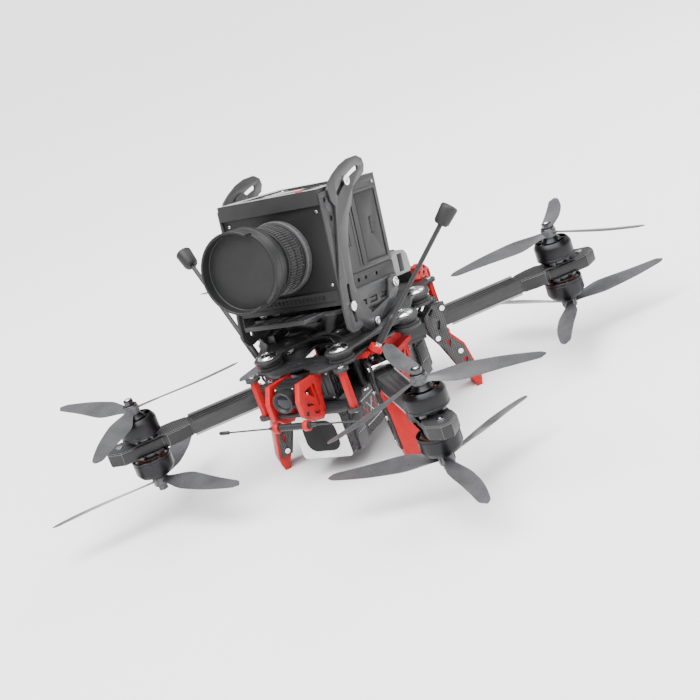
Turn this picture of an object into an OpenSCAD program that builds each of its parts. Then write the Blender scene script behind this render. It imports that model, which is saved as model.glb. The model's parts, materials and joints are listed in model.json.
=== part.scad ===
// Heavy-lift coaxial camera drone: eight motors on four arms, a tilting cinema
// camera on a damped plate, a pilot camera at the front and a battery below.
// Frame: +Z up, -Y is the nose, origin on the ground under the middle.

/* [Airframe] */
// Distance of each motor axis from the centre planes
motor_offset = 142; // [136:1:150]
// Width of an arm spar
arm_w = 17.7; // [14:0.1:20]
// Height of an arm spar
arm_h = 11.2; // [10:0.2:13]
// Thickness of a carbon frame plate
plate_t = 3; // [2:0.5:3]
// Height of the red hexagonal columns
column_h = 33; // [33:0.5:36]
// Height of the lower frame plate above the ground
plate_z = 62; // [60:1:66]

/* [Propulsion] */
// Diameter of a propeller
prop_d = 203.2; // [180:0.1:206]
// Pitch angle of a blade at rest
blade_pitch = 15; // [8:1:20]
// Outer diameter of a motor bell
bell_d = 34.5; // [32:0.5:36]
// Height of a motor bell
bell_h = 16.5; // [15:0.5:18]
// Thickness of a motor mount
mount_t = 12; // [11.5:0.5:14]

/* [Camera] */
// Width of the camera body
camera_w = 100; // [96:0.5:100]
// Upward pitch of the camera at rest
camera_pitch = 12.5; // [10:0.5:14]
// Outer radius of the lens hood
hood_r = 33.8; // [30:0.1:35]

/* [Battery] */
// Width of the battery pack
battery_w = 50; // [44:1:52]
// Height of the battery pack
battery_h = 42; // [36:1:44]

/* [Hidden] */

fine = 64;
gap = 0.3;
carbon = "dimgray";
red = "red";

// heights
arm_z = plate_z + plate_t;
arm_mid_z = arm_z + arm_h / 2;
middle_z = arm_z + arm_h;
middle_t = 2;
upper_z = arm_z + column_h;
upper_t = 2.5;
isolator_z = upper_z + upper_t + 6.5;
isolator_t = 2.5;
isolator_top = isolator_z + isolator_t;

// motor stations
motor_r = motor_offset * sqrt(2);
arm_start_r = 14;
arm_end_r = 160;
column_x = 44.4;
column_front_y = -95.5;
column_rear_y = 80;
shaft_r = 2.5;
run_gap = 0.05;

// leg outline, radial distance and height above the ground
leg_clamp_r = 86;
leg_plate_t = 2;
leg_gap_w = arm_w / 2 + 0.15;

// camera frame: y runs back through the camera, z up through it, turned by the pitch
camera_zero_z = 70;
cam_front = -86.5;
cam_back = 7.5;
cam_bottom = 58;
cam_top = 154;
lens_h = 104;
pivot_s = -2.8;
pivot_h = 59.6;
pivot_y = pivot_s * cos(camera_pitch) + pivot_h * sin(camera_pitch);
pivot_z = camera_zero_z + pivot_h * cos(camera_pitch) - pivot_s * sin(camera_pitch);
cheek_t = 1.4;
cage_t = 2.2;
cage_x = camera_w / 2 + cheek_t + gap + 0.1;
slot_r_upper = 104.5;
slot_r_lower = 74.5;
upper_screw_angle = 102.4;
lower_screw_angle = 171.5;
tilt_up = 12;
tilt_down = 8;

// ---------------------------------------------------------------- helpers

// one copy for each corner, x axis along the arm, outwards
module each_arm() {
    for (a = [45, 135, 225, 315]) rotate([0, 0, a]) children();
}

// a plate standing in the YZ plane, from x to x + t, its outline as [y, z]
module side_plate(x, t) {
    translate([x, 0, 0]) rotate([90, 0, 90]) linear_extrude(t) children();
}

// a plate standing along an arm, from w to w + t, its outline as [r, z]
module radial_plate(w, t) {
    translate([0, w + t, 0]) rotate([90, 0, 0]) linear_extrude(t) children();
}

module mirror_pair() {
    children();
    mirror([1, 0, 0]) children();
}

// an outline symmetric about x = 0, given by its half with x >= 0
module mirrored_polygon(half) {
    polygon(concat(half, [for (i = [len(half) - 2:-1:1]) [-half[i][0], half[i][1]]]));
}

module in_camera() {
    translate([0, 0, camera_zero_z]) rotate([-camera_pitch, 0, 0]) children();
}

// a round-ended slot between two points
module slot2d(a, b, r) {
    d = b - a;
    translate(a) rotate(atan2(d[1], d[0])) {
        translate([0, -r]) square([norm(d), 2 * r]);
        circle(r, $fn = 32);
        translate([norm(d), 0]) circle(r, $fn = 32);
    }
}

// a slot along an arc about the origin
module arc_slot2d(radius, from, to, half_w) {
    steps = 16;
    function on(r, i) = let (a = from + (to - from) * i / steps) [r * cos(a), r * sin(a)];
    polygon(concat(
        [for (i = [0:steps]) on(radius + half_w, i)],
        [for (i = [steps:-1:0]) on(radius - half_w, i)]));
    for (i = [0, steps]) translate(on(radius, i)) circle(half_w, $fn = 32);
}

// a button-head screw along +z, its head standing on z = 0
module screw(head_r, head_h, shank_r, shank_l) {
    difference() {
        cylinder(r = head_r, h = head_h, $fn = 32);
        translate([0, 0, head_h * 0.4]) cylinder(r = head_r * 0.5, h = head_h, $fn = 6);
    }
    if (shank_l > 0) translate([0, 0, -shank_l]) cylinder(r = shank_r, h = shank_l, $fn = 24);
}

// ---------------------------------------------------------------- frame plates

column_points = [for (x = [-1, 1], y = [column_front_y, column_rear_y]) [x * column_x, y]];
stack_points = [for (x = [-15.25, 15.25], y = [-15.25, 15.25]) [x, y]];
post_points = [for (x = [-32, 32], y = [-54, 60]) [x, y]];
damper_points = [for (x = [-1, 1]) each [[x * 36, -76.6], [x * 70, -19], [x * 58, 30]]];
strap_ys = [-72, 60];
strap_w = 16;
column_hole_r = 1.6;

module holes(points, r) {
    for (p = points) translate(p) circle(r, $fn = 24);
}

module bottom_plate() {
    color(carbon) translate([0, 0, plate_z]) linear_extrude(plate_t) difference() {
        union() {
            polygon([[-30, -99], [30, -99], [46, -92], [38, -70], [34, -62], [34, 62], [38, 68],
                [46, 78], [38, 88], [-38, 88], [-46, 78], [-38, 68], [-34, 62], [-34, -62],
                [-38, -70], [-46, -92]]);
            for (a = [45, -45]) rotate(a) square([124, arm_w], center = true);
            for (p = column_points) translate(p) circle(6.5, $fn = 32);
        }
        holes(column_points, column_hole_r);
        holes(stack_points, column_hole_r);
        holes(post_points, column_hole_r);
        for (x = [-1, 1], y = strap_ys)
            translate([x * (battery_w / 2 + 0.9), y]) square([2.6, strap_w + 2], center = true);
        for (y = [-24, 0, 24]) translate([0, y]) circle(7, $fn = 32);
    }
}

module middle_plate() {
    color(carbon) translate([0, 0, middle_z]) linear_extrude(middle_t) difference() {
        union() {
            for (a = [45, -45]) rotate(a) square([112, arm_w], center = true);
            square([48, 48], center = true);
        }
        holes(stack_points, column_hole_r);
        each_arm() translate([48, 0]) circle(column_hole_r, $fn = 24);
        circle(8, $fn = 32);
    }
}

module upper_plate() {
    color(carbon) translate([0, 0, upper_z]) linear_extrude(upper_t) difference() {
        union() {
            mirrored_polygon([[0, -84], [11, -90], [15, -97], [24, -97], [34, -90], [44, -88],
                [50, -62], [62, -36], [66, -8], [62, 12], [56, 44], [44, 62], [48, 82], [30, 90],
                [14, 90], [10, 82], [0, 82]]);
            for (p = column_points) translate(p) circle(6.5, $fn = 32);
            for (p = damper_points) translate(p) circle(12.3, $fn = 48);
        }
        holes(column_points, column_hole_r);
        holes(post_points, column_hole_r);
        holes(damper_points, 2.6);
        for (x = [-1, 1], y = [-40, 0, 40])
            translate([x * 34, y]) slot2d([0, -9], [x * 6, 9], 4);
        for (y = [-52, -8, 36]) translate([0, y]) square([22, 26], center = true);
        for (x = [-9, 9]) translate([x, -76]) circle(1.6, $fn = 24);
    }
}

// ---------------------------------------------------------------- arms and mounts

// box spar with three shallow channels along its top and bottom
module arm(angle) {
    wall = 1.8;
    color(carbon) rotate([0, 0, angle]) translate([0, 0, arm_mid_z]) difference() {
        translate([arm_start_r, -arm_w / 2, -arm_h / 2])
            cube([motor_r - 30 - arm_start_r, arm_w, arm_h]);
        translate([70, -arm_w / 2 + wall, -arm_h / 2 + wall])
            cube([motor_r - 30, arm_w - 2 * wall, arm_h - 2 * wall]);
        for (w = [-5, 0, 5], z = [-arm_h / 2, arm_h / 2])
            translate([leg_clamp_r + 2, w - 1.5, z - 0.5])
                cube([arm_end_r - leg_clamp_r - 6, 3, 1]);
        translate([48, 0, -arm_h]) cylinder(r = column_hole_r, h = 2 * arm_h, $fn = 24);
    }
}

module arm_front_left() { arm(-45); }
module arm_front_right() { arm(-135); }
module arm_rear_left() { arm(45); }
module arm_rear_right() { arm(135); }

// pale strips along each arm: above its rear edge and below its front edge
module arm_sheets() {
    strip_t = 1.2;
    strip_h = 2;
    len = arm_end_r - leg_clamp_r - 4;
    color("silver") mirror_pair() for (a = [45, -45]) rotate([0, 0, a]) {
        translate([leg_clamp_r + 2, arm_w / 2 - strip_t, middle_z]) cube([len, strip_t, strip_h]);
        translate([leg_clamp_r + 2, -arm_w / 2, arm_z - strip_h]) cube([len, strip_t, strip_h]);
    }
}

mount_tip_r = motor_r + 34;

// clamp lobes round the arm, a straight middle under the motors and a wide tip
module mount_outline(inset) {
    half = [[arm_end_r, 9.6], [motor_r - 29, 12.6], [motor_r - 19, 12.6], [motor_r - 14, 9.4],
        [motor_r - 10, 11], [motor_r + 9, 11], [motor_r + 13, 13.2], [motor_r + 23, 13.2],
        [mount_tip_r, 4.4]];
    offset_half = [for (q = half) [q[0] + (q[0] > motor_r ? -inset : inset), q[1] - inset]];
    polygon(concat(offset_half,
        [for (i = [len(half) - 1:-1:0]) [offset_half[i][0], -offset_half[i][1]]]));
}

module motor_mounts() {
    core_t = mount_t - 2.4;
    cover_t = 1.2;
    color("gray") each_arm() translate([0, 0, arm_mid_z]) difference() {
        union() {
            translate([0, 0, -core_t / 2]) linear_extrude(core_t) mount_outline(0);
            for (z = [-mount_t / 2, core_t / 2]) translate([0, 0, z]) linear_extrude(cover_t)
                mount_outline(0.5);
        }
        translate([arm_end_r - 5, -arm_w / 2, -arm_h / 2])
            cube([motor_r - 30 - arm_end_r + 5, arm_w, arm_h]);
        translate([motor_r, 0, -mount_t]) cylinder(r = 4.5, h = 2 * mount_t, $fn = fine);
        for (a = [0:90:270]) translate([motor_r, 0, -mount_t]) rotate(a + 45)
            translate([9.5, 0, 0]) cylinder(r = column_hole_r, h = 2 * mount_t, $fn = 24);
        translate([motor_r + 22, 0, -mount_t]) cylinder(r = column_hole_r, h = 2 * mount_t, $fn = 24);
    }
}

// ---------------------------------------------------------------- motors

// everything of a motor is drawn upwards from the top of its base at z = 0
base_h = 3.4;
stator_poles = 12;
bell_gap = 1.2;
bell_r = bell_d / 2;

module upper_station(angle) {
    rotate([0, 0, angle]) translate([motor_r, 0, arm_mid_z + mount_t / 2 + base_h]) children();
}

module lower_station(angle) {
    rotate([0, 0, angle]) translate([motor_r, 0, arm_mid_z - mount_t / 2 - base_h])
        mirror([0, 0, 1]) children();
}

module stator() {
    pole_r = 14.6;
    difference() {
        union() {
            cylinder(r = 13, h = 1, $fn = fine);
            translate([0, 0, -base_h]) cylinder(r = 9, h = base_h, $fn = fine);
            for (a = [45:90:315]) rotate([0, 0, a]) translate([4, -3.2, -base_h])
                cube([9, 6.4, base_h]);
            cylinder(r = 5, h = 14.4, $fn = fine);
            translate([0, 0, 3]) cylinder(r = 8, h = 9.5, $fn = fine);
            for (i = [0:stator_poles - 1]) rotate([0, 0, i * 360 / stator_poles]) {
                translate([7, -1.4, 3.4]) cube([5.6, 2.8, 8.7]);
                translate([pole_r - 2.2, -3.1, 3]) cube([2.1, 6.2, 9.5]);
            }
        }
        translate([0, 0, -base_h - 1]) cylinder(r = shaft_r + run_gap, h = 24, $fn = fine);
        for (a = [45:90:315]) rotate([0, 0, a]) translate([9.5, 0, -base_h - 1])
            cylinder(r = 1.4, h = base_h + 0.4, $fn = 24);
    }
}

module stators_upper() {
    color("orangered") for (a = [45, 135, 225, 315]) upper_station(a) stator();
}

module stators_lower() {
    color("orangered") for (a = [45, 135, 225, 315]) lower_station(a) stator();
}

prop_seat = bell_gap + bell_h + 3.5;
prop_hub_h = 7;

// bell, shaft, prop washer and flanged nut
module bell() {
    crown_z = bell_gap + bell_h - 1.6;
    color([0.2, 0.2, 0.22]) {
        difference() {
            union() {
                rotate_extrude($fn = fine) polygon([[bell_r - 1.7, bell_gap], [bell_r - 0.3, bell_gap],
                    [bell_r, bell_gap + 0.6], [bell_r, crown_z - 2], [bell_r - 2.6, crown_z + 1.6],
                    [shaft_r, crown_z + 1.6], [shaft_r, crown_z], [bell_r - 3.4, crown_z],
                    [bell_r - 1.7, crown_z - 2]]);
                translate([0, 0, crown_z + 1.6]) difference() {
                    cylinder(r1 = 9, r2 = 6.2, h = prop_seat - crown_z - 1.6, $fn = fine);
                    translate([0, 0, -1]) cylinder(r = shaft_r, h = 9, $fn = fine);
                }
            }
            for (i = [0:5]) rotate([0, 0, i * 60]) translate([11.4, 0, crown_z - 1])
                linear_extrude(4) polygon([[-1.6, -1.6], [2.6, -4.2], [2.6, 4.2], [-1.6, 1.6]]);
        }
        translate([0, 0, 1.2]) cylinder(r = shaft_r, h = 33.8, $fn = fine);
    }
    color("silver") translate([0, 0, prop_seat + prop_hub_h]) difference() {
        union() {
            cylinder(r = 6.4, h = 1.2, $fn = fine);
            translate([0, 0, 1.2]) cylinder(r = 4.6, h = 4.8, $fn = 6);
        }
        translate([0, 0, -1]) cylinder(r = shaft_r, h = 9, $fn = fine);
    }
}

module propeller(hand) {
    tip = prop_d / 2;
    color([0.35, 0.35, 0.38, 0.8]) translate([0, 0, prop_seat]) difference() {
        union() {
            cylinder(r = 6.8, h = prop_hub_h, $fn = fine);
            for (i = [0:2]) rotate([0, 0, i * 120]) translate([0, 0, prop_hub_h / 2])
                rotate([hand * blade_pitch, 0, 0]) translate([0, 0, -0.8]) linear_extrude(1.6)
                    polygon([[3, -3.4], [tip * 0.12, -4.2], [tip * 0.3, -9.5], [tip * 0.5, -10],
                        [tip * 0.8, -6.6], [tip * 0.97, -3.6], [tip, 0], [tip * 0.99, 3.4],
                        [tip * 0.8, 6], [tip * 0.5, 8.5], [tip * 0.3, 8], [tip * 0.12, 4.2],
                        [3, 3.4]]);
        }
        translate([0, 0, -1]) cylinder(r = shaft_r, h = 20, $fn = fine);
    }
}

// resting blade angle, the same for each motor when seen along its own arm
upper_rest = 60;
lower_rest = 0;

module bell_front_left_upper() { upper_station(-45) bell(); }
module bell_front_right_upper() { upper_station(-135) bell(); }
module bell_rear_left_upper() { upper_station(45) bell(); }
module bell_rear_right_upper() { upper_station(135) bell(); }
module bell_front_left_lower() { lower_station(-45) bell(); }
module bell_front_right_lower() { lower_station(-135) bell(); }
module bell_rear_left_lower() { lower_station(45) bell(); }
module bell_rear_right_lower() { lower_station(135) bell(); }
module propeller_front_left_upper() { upper_station(-45) rotate([0, 0, upper_rest]) propeller(1); }
module propeller_front_right_upper() { upper_station(-135) rotate([0, 0, upper_rest]) propeller(-1); }
module propeller_rear_left_upper() { upper_station(45) rotate([0, 0, upper_rest]) propeller(-1); }
module propeller_rear_right_upper() { upper_station(135) rotate([0, 0, upper_rest]) propeller(1); }
module propeller_front_left_lower() { lower_station(-45) rotate([0, 0, lower_rest]) propeller(1); }
module propeller_front_right_lower() { lower_station(-135) rotate([0, 0, lower_rest]) propeller(-1); }
module propeller_rear_left_lower() { lower_station(45) rotate([0, 0, lower_rest]) propeller(-1); }
module propeller_rear_right_lower() { lower_station(135) rotate([0, 0, lower_rest]) propeller(1); }

// ---------------------------------------------------------------- columns and screws

module standoffs() {
    difference() {
        union() {
            color(red) for (p = column_points) translate([p[0], p[1], arm_z])
                cylinder(r = 4, h = column_h, $fn = 6);
            color("black") for (p = post_points) translate([p[0], p[1], arm_z])
                cylinder(r = 3, h = column_h, $fn = 32);
        }
        for (p = concat(column_points, post_points), z = [arm_z - 1, upper_z - 7])
            translate([p[0], p[1], z]) cylinder(r = 1.5, h = 8, $fn = 24);
    }
}

module frame_screws() {
    color("silver") {
        for (p = concat(column_points, post_points)) {
            translate([p[0], p[1], upper_z + upper_t]) screw(2.8, 1.6, 1.5, upper_t + 5);
            translate([p[0], p[1], plate_z]) mirror([0, 0, 1]) screw(2.8, 1.6, 1.5, plate_t + 5);
        }
        each_arm() translate([48, 0, middle_z + middle_t]) screw(2.8, 1.6, 1.5, middle_t + 8);
        each_arm() for (m = [0, 1]) translate([motor_r + 22, 0, arm_mid_z]) mirror([0, 0, m])
            translate([0, 0, mount_t / 2]) screw(3, 1.2, 1.5, 5.8);
    }
}

// ---------------------------------------------------------------- legs

module leg_outline() {
    polygon([[64, 80.5], [75.5, 89.4], [85.7, 88.2], [86, 79.6], [82, 68.6], [81.5, 56],
        [91, 43], [97, 12], [86, 13.8], [75, 42.6], [69, 53.8], [65.5, 59.6], [64.3, 68.7]]);
}

leg_screw_points = [[82.3, 83], [70.5, 58], [86.5, 39], [90, 17.5]];

module leg_plates() {
    color(carbon) each_arm() for (w = [leg_gap_w, -leg_gap_w - leg_plate_t])
        radial_plate(w, leg_plate_t) difference() {
            leg_outline();
            polygon([[76, 54], [79, 45], [81, 52]]);
            polygon([[86, 32], [89, 24], [91.5, 31]]);
            slot2d([70, 81], [73, 84.5], 1.2);
            slot2d([74, 66], [76, 72], 1.2);
            holes(leg_screw_points, 1.6);
        }
}

// printed foot held between the two plates, below the arm, with a pad at its end
module leg_feet() {
    color(red) each_arm() difference() {
        radial_plate(-leg_gap_w, 2 * leg_gap_w) polygon([[67, 61.4], [84, 61.4], [83.5, 57.5],
            [93, 43.5], [99, 12], [98.5, 5], [97.5, 3], [97.5, 0], [92, 0], [91.5, 4], [87, 13],
            [76.5, 43], [70, 54.5]]);
        radial_plate(-leg_gap_w + 4, 2 * leg_gap_w - 8) polygon([[75, 57], [80, 50], [81, 57]]);
    }
}

module leg_screws() {
    color("silver") each_arm() for (p = leg_screw_points) {
        for (side = [-1, 1]) translate([p[0], side * (leg_gap_w + leg_plate_t), p[1]])
            rotate([-side * 90, 0, 0]) screw(2.3, 1.3, 1.5, leg_plate_t);
    }
    color("black") each_arm() translate([82.3, leg_gap_w, 83]) rotate([90, 0, 0])
        cylinder(r = 2.6, h = 2 * leg_gap_w, $fn = 32);
}

// ---------------------------------------------------------------- nose

bracket_x = 12.6;
bracket_t = 4.4;
bar_y = -121;
bar_z = 74.5;
whip_y = -125.2;
whip_z = 66.2;

module pilot_camera_brackets() {
    color(red) mirror_pair() {
        side_plate(bracket_x, bracket_t) difference() {
            union() {
                polygon([[-86, 97.7], [-98, 97.7], [-119, 101], [-127, 88.5], [-127, 75],
                    [-115, 64.5], [-103, 60.5], [-99, 62], [-99, 65], [-95.5, 65],
                    [-94.5, 74], [-92, 84], [-86, 92]]);
                translate([whip_y, whip_z]) circle(4.6, $fn = 32);
            }
            polygon([[-116, 92], [-104, 92], [-104, 80]]);
            polygon([[-118, 86], [-118, 79], [-108, 76]]);
            slot2d([-101, 90], [-101, 74], 2);
            slot2d([-110, 70], [-105, 68], 1.6);
            translate([-112, 88.5]) circle(1.6, $fn = 24);
            translate([bar_y, bar_z]) circle(2.2, $fn = 32);
            translate([whip_y, whip_z]) circle(3, $fn = 32);
        }
    }
}

module crash_bar() {
    color("black") translate([-bracket_x - bracket_t, bar_y, bar_z]) rotate([0, 90, 0])
        cylinder(r = 2.2, h = 2 * (bracket_x + bracket_t), $fn = 32);
}

module receiver_antenna() {
    color("black") translate([0, whip_y, whip_z]) rotate([0, 90, 0]) {
        translate([0, 0, -19]) cylinder(r = 3, h = 38, $fn = 32);
        for (s = [-1, 1]) mirror([0, 0, s < 0 ? 1 : 0]) {
            translate([0, 0, 19]) cylinder(r = 0.8, h = 46, $fn = 16);
            translate([0, 0, 65]) cylinder(r = 1.7, h = 10, $fn = 24);
        }
    }
}

pilot_pivot_y = -112;
pilot_pivot_z = 88.5;

// body, lens and side pins; it turns on the pins
module pilot_camera() {
    half = 10;
    color([0.15, 0.15, 0.16]) translate([0, pilot_pivot_y, pilot_pivot_z]) {
        translate([-half, -6, -half]) cube([2 * half, 19, 2 * half]);
        rotate([90, 0, 0]) {
            translate([0, 0, 6]) cylinder(r = 8, h = 3, $fn = fine);
            difference() {
                translate([0, 0, 9]) cylinder(r = 9.3, h = 6, $fn = fine);
                translate([0, 0, 14]) cylinder(r = 7.6, h = 2, $fn = fine);
            }
        }
        for (s = [0, 1]) mirror([s, 0, 0]) translate([half, 0, 0]) rotate([0, 90, 0])
            cylinder(r = 1.55, h = bracket_x + bracket_t - half, $fn = 24);
    }
}

// ---------------------------------------------------------------- electronics

// speed controller and flight controller boards on soft posts
module flight_stack() {
    color("black") difference() {
        union() {
            for (z = [middle_z + 4, middle_z + 11.5]) translate([-19, -19, z]) cube([38, 38, 1.6]);
            for (p = stack_points) translate([p[0], p[1], middle_z + middle_t])
                cylinder(r = 3, h = 13, $fn = 32);
            for (x = [-12, -4, 4], y = [-8, 4]) translate([x, y, middle_z + 5.6]) cube([6, 7, 1.4]);
            translate([-5, -5, middle_z + 13.1]) cube([10, 10, 1.2]);
            translate([-7, 14.4, middle_z + 13.1]) cube([14, 4.5, 3]);
        }
        for (p = stack_points) translate([p[0], p[1], middle_z])
            cylinder(r = 1.5, h = 30, $fn = 24);
    }
}

vtx_front = -82;
vtx_back = -56;

// louvred transmitter box just behind the pilot camera
module video_transmitter() {
    color([0.2, 0.2, 0.2]) difference() {
        translate([-21, vtx_front, arm_z + 1.5]) cube([42, vtx_back - vtx_front, 27]);
        for (i = [0:5], z = [arm_z + 5, arm_z + 15]) {
            translate([19.5, vtx_front + 3 + i * 3.6, z]) cube([2, 1.8, 7.5]);
            translate([-21.5, vtx_front + 3 + i * 3.6, z]) cube([2, 1.8, 7.5]);
        }
        for (i = [0:6]) translate([-17.5 + i * 5.2, vtx_front - 0.5, arm_z + 6]) cube([2.4, 2, 15]);
    }
}

module receiver() {
    color([0.25, 0.25, 0.25]) {
        translate([-12, 69, arm_z]) cube([24, 18, 4]);
        translate([-8, 72, arm_z + 4]) cube([10, 12, 1.5]);
    }
}

// ---------------------------------------------------------------- battery

battery_front = -92.5;
battery_back = 74;
pad_t = 1.8;
battery_top = plate_z - pad_t;
battery_bottom = battery_top - battery_h;

module battery_pack() {
    edge = 4;
    color([0.3, 0.3, 0.32]) {
        translate([0, battery_back, (battery_top + battery_bottom) / 2]) rotate([90, 0, 0])
            linear_extrude(battery_back - battery_front) {
                square([battery_w, battery_h - 2 * edge], center = true);
                square([battery_w - 2 * edge, battery_h], center = true);
                for (x = [-1, 1], z = [-1, 1])
                    translate([x * (battery_w / 2 - edge), z * (battery_h / 2 - edge)])
                        circle(edge, $fn = 32);
            }
        translate([-battery_w / 2 + 4, battery_front + 8, battery_top])
            cube([battery_w - 8, battery_back - battery_front - 16, pad_t]);
    }
}

module battery_straps() {
    strap_t = 1.2;
    inner_w = battery_w + 0.6;
    top = arm_z;
    color([0.12, 0.12, 0.12]) for (y = strap_ys)
        translate([0, y + strap_w / 2, 0]) rotate([90, 0, 0]) linear_extrude(strap_w) difference() {
            translate([-inner_w / 2 - strap_t, battery_bottom - 0.3 - strap_t])
                square([inner_w + 2 * strap_t, top - battery_bottom + 0.3 + 2 * strap_t]);
            translate([-inner_w / 2, battery_bottom - 0.3])
                square([inner_w, top - battery_bottom + 0.3]);
        }
}

// main lead from the back of the pack up to the power plug on the lower plate
module battery_lead() {
    bend = 12;
    wire_r = 2.4;
    lead_z = battery_top - 12;
    color("black") {
        for (x = [-4, 4]) translate([x, battery_back, lead_z]) {
            rotate([-90, 0, 0]) cylinder(r = wire_r, h = 8, $fn = 24);
            translate([0, 8, bend]) rotate([0, -90, 0]) intersection() {
                rotate_extrude($fn = 48) translate([bend, 0]) circle(wire_r, $fn = 24);
                translate([-30, 0, -5]) cube([30, 30, 10]);
            }
            translate([0, 8 + bend, bend]) cylinder(r = wire_r, h = arm_z + 6 - lead_z - bend, $fn = 24);
        }
        translate([-9, battery_back + 8 + bend - 5, arm_z + 6]) cube([18, 10, 16]);
    }
}

// ---------------------------------------------------------------- antennas and brackets

antenna_base = [57, -59, 96];
antenna_tip = [132.5, -10, 186];
antenna_len = norm(antenna_tip - antenna_base);
antenna_head_h = 17;

// put z along the left antenna, from its base
module along_antenna() {
    d = antenna_tip - antenna_base;
    translate(antenna_base)
        rotate([0, acos(d[2] / norm(d)), atan2(d[1], d[0])]) children();
}

module video_antennas() {
    stem_end = antenna_len - antenna_head_h / 2;
    mirror_pair() along_antenna() {
        color("silver") cylinder(r = 3.1, h = 8.5, $fn = 6);
        color("black") {
            translate([0, 0, 8.5]) cylinder(r = 3.2, h = 26, $fn = 32);
            translate([0, 0, 34.5]) cylinder(r = 2, h = stem_end - 34.5, $fn = 32);
            translate([0, 0, stem_end]) cylinder(r1 = 5.6, r2 = 6.6, h = 2, $fn = 48);
            translate([0, 0, stem_end + 2]) cylinder(r1 = 6.6, r2 = 7.4, h = antenna_head_h - 3.2, $fn = 48);
            translate([0, 0, stem_end + antenna_head_h - 1.2]) cylinder(r1 = 7.4, r2 = 6.4, h = 1.2, $fn = 48);
        }
    }
}

module antenna_clips() {
    color(red) mirror_pair() {
        difference() {
            union() {
                along_antenna() translate([0, 0, 0.5]) cylinder(r = 6, h = 5, $fn = 48);
                translate([38, -64, upper_z - 5.2]) cube([14, 12, 5.2]);
                translate([50, -62, upper_z - 5.2]) cube([4, 8, 4.6]);
            }
            along_antenna() translate([0, 0, -12]) cylinder(r = 3.1, h = 60, $fn = 48);
        }
    }
}

// carbon plate with a printed truss, left of the battery
module side_bracket() {
    bx = 34.1;
    mirror_pair() {
        color(carbon) side_plate(bx, 2) difference() {
            polygon([[-9, 98], [8, 98], [20, 78], [20, 62], [12, 40], [-4, 36], [-9, 44]]);
            polygon([[-5, 60], [4, 60], [-2, 50]]);
            polygon([[8, 58], [14, 58], [10, 48]]);
            translate([2, 84]) circle(3, $fn = 32);
        }
        color(red) {
            translate([bx + 2, -9, 70]) cube([9, 29, 4]);
            side_plate(bx + 2, 5) difference() {
                polygon([[-9, 70], [20, 70], [12, 42], [-4, 38]]);
                polygon([[-4, 66], [10, 66], [0, 52]]);
                polygon([[14, 66], [11.5, 56], [6, 52]]);
            }
        }
    }
}

// printed brackets at the tail with a dark module between them
module tail_bracket() {
    tail_x = 30;
    color(red) mirror_pair() side_plate(tail_x, 8) difference() {
        polygon([[90.3, 93], [92, 92.5], [99, 98], [99, 104], [95, 108.5], [88.5, 113.6],
            [82, 112], [82, 106], [78, 102.6], [78, upper_z + upper_t], [90.3, upper_z + upper_t]]);
        slot2d([95.5, 97.5], [95.5, 103], 1.3);
        translate([88, 104.5]) circle(1.8, $fn = 24);
        translate([91, 109]) circle(1.6, $fn = 24);
    }
    color("black") translate([-tail_x, 80, upper_z + upper_t]) cube([2 * tail_x, 13, 10]);
}

// ---------------------------------------------------------------- damped plate

module isolator_outline() {
    mirrored_polygon([[0, -44], [10, -46], [23, -60], [27, -72], [36, -88], [47, -78], [60, -48],
        [71, -31], [80, -14], [68, -2], [62, 16], [66, 40], [52, 42], [40, 52], [0, 52]]);
    for (p = damper_points) translate(p) circle(12.3, $fn = 48);
}

tray_slot_points = [for (x = [-1, 1], y = [-10, 20]) [x * 20, y]];

module isolator_plate() {
    color(carbon) translate([0, 0, isolator_z]) linear_extrude(isolator_t) difference() {
        isolator_outline();
        holes(damper_points, 2.6);
        for (x = [-1, 1]) {
            slot2d([x * 30, -52], [x * 36, -44], 2.2);
            slot2d([x * 44, -30], [x * 50, -22], 3);
            slot2d([x * 30, 8], [x * 30, 30], 3.5);
            translate([x * 12, -34]) square([9, 12], center = true);
        }
        holes(tray_slot_points, 2.1);
    }
}

// rubber between the two plates, waisted, on a steel pin
module damper_rubbers() {
    z0 = upper_z + upper_t;
    h = isolator_z - z0;
    color([0.1, 0.1, 0.1]) for (p = damper_points) translate([p[0], p[1], z0])
        rotate_extrude($fn = 48) polygon([[2.5, 0], [10.4, 0], [11, 1], [10.4, 2], [8.6, h / 2],
            [10.4, h - 2], [11, h - 1], [10.4, h], [2.5, h]]);
}

module damper_caps() {
    color("silver") for (p = damper_points) translate([p[0], p[1], 0]) {
        translate([0, 0, isolator_top]) rotate_extrude($fn = 48) polygon([[0, 0], [8.6, 0],
            [8.6, 0.8], [7.2, 2.2], [4.6, 3.2], [2.4, 3.4], [2.4, 2.2], [0, 2.2]]);
        translate([0, 0, upper_z - 2.4]) cylinder(r1 = 4.4, r2 = 6.2, h = 2.4, $fn = 48);
        translate([0, 0, upper_z]) cylinder(r = 2.5, h = isolator_top - upper_z, $fn = 32);
    }
}

// ---------------------------------------------------------------- cage

fixed_screw_points = [[-36, 113.4]];

// V-shaped carbon plate with an arc slot at its ear and one at its foot
module cage_outline() {
    polygon([[-78.5, 127], [-74, 121], [-66.5, 119], [-57, 119.6], [-47.5, 109.5],
        [-32, 109.5], [1.2, 115.2], [12, 121], [16.5, 127.5], [15, 133], [8.5, 135.5],
        [2.4, 135], [-6.4, 121.4], [-37.6, 122], [-51.4, 147.3], [-41.2, 179.9], [-31, 196],
        [-22, 206], [-14.3, 210.3], [-4, 222], [8, 224], [20, 226], [24.4, 231], [24, 237],
        [17, 242.2], [3, 244.6], [-11, 244.2], [-25, 241.5], [-36, 238], [-41, 234],
        [-41.5, 225], [-38, 218], [-48, 199], [-61, 175], [-70.5, 160], [-76, 143]]);
}

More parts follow.
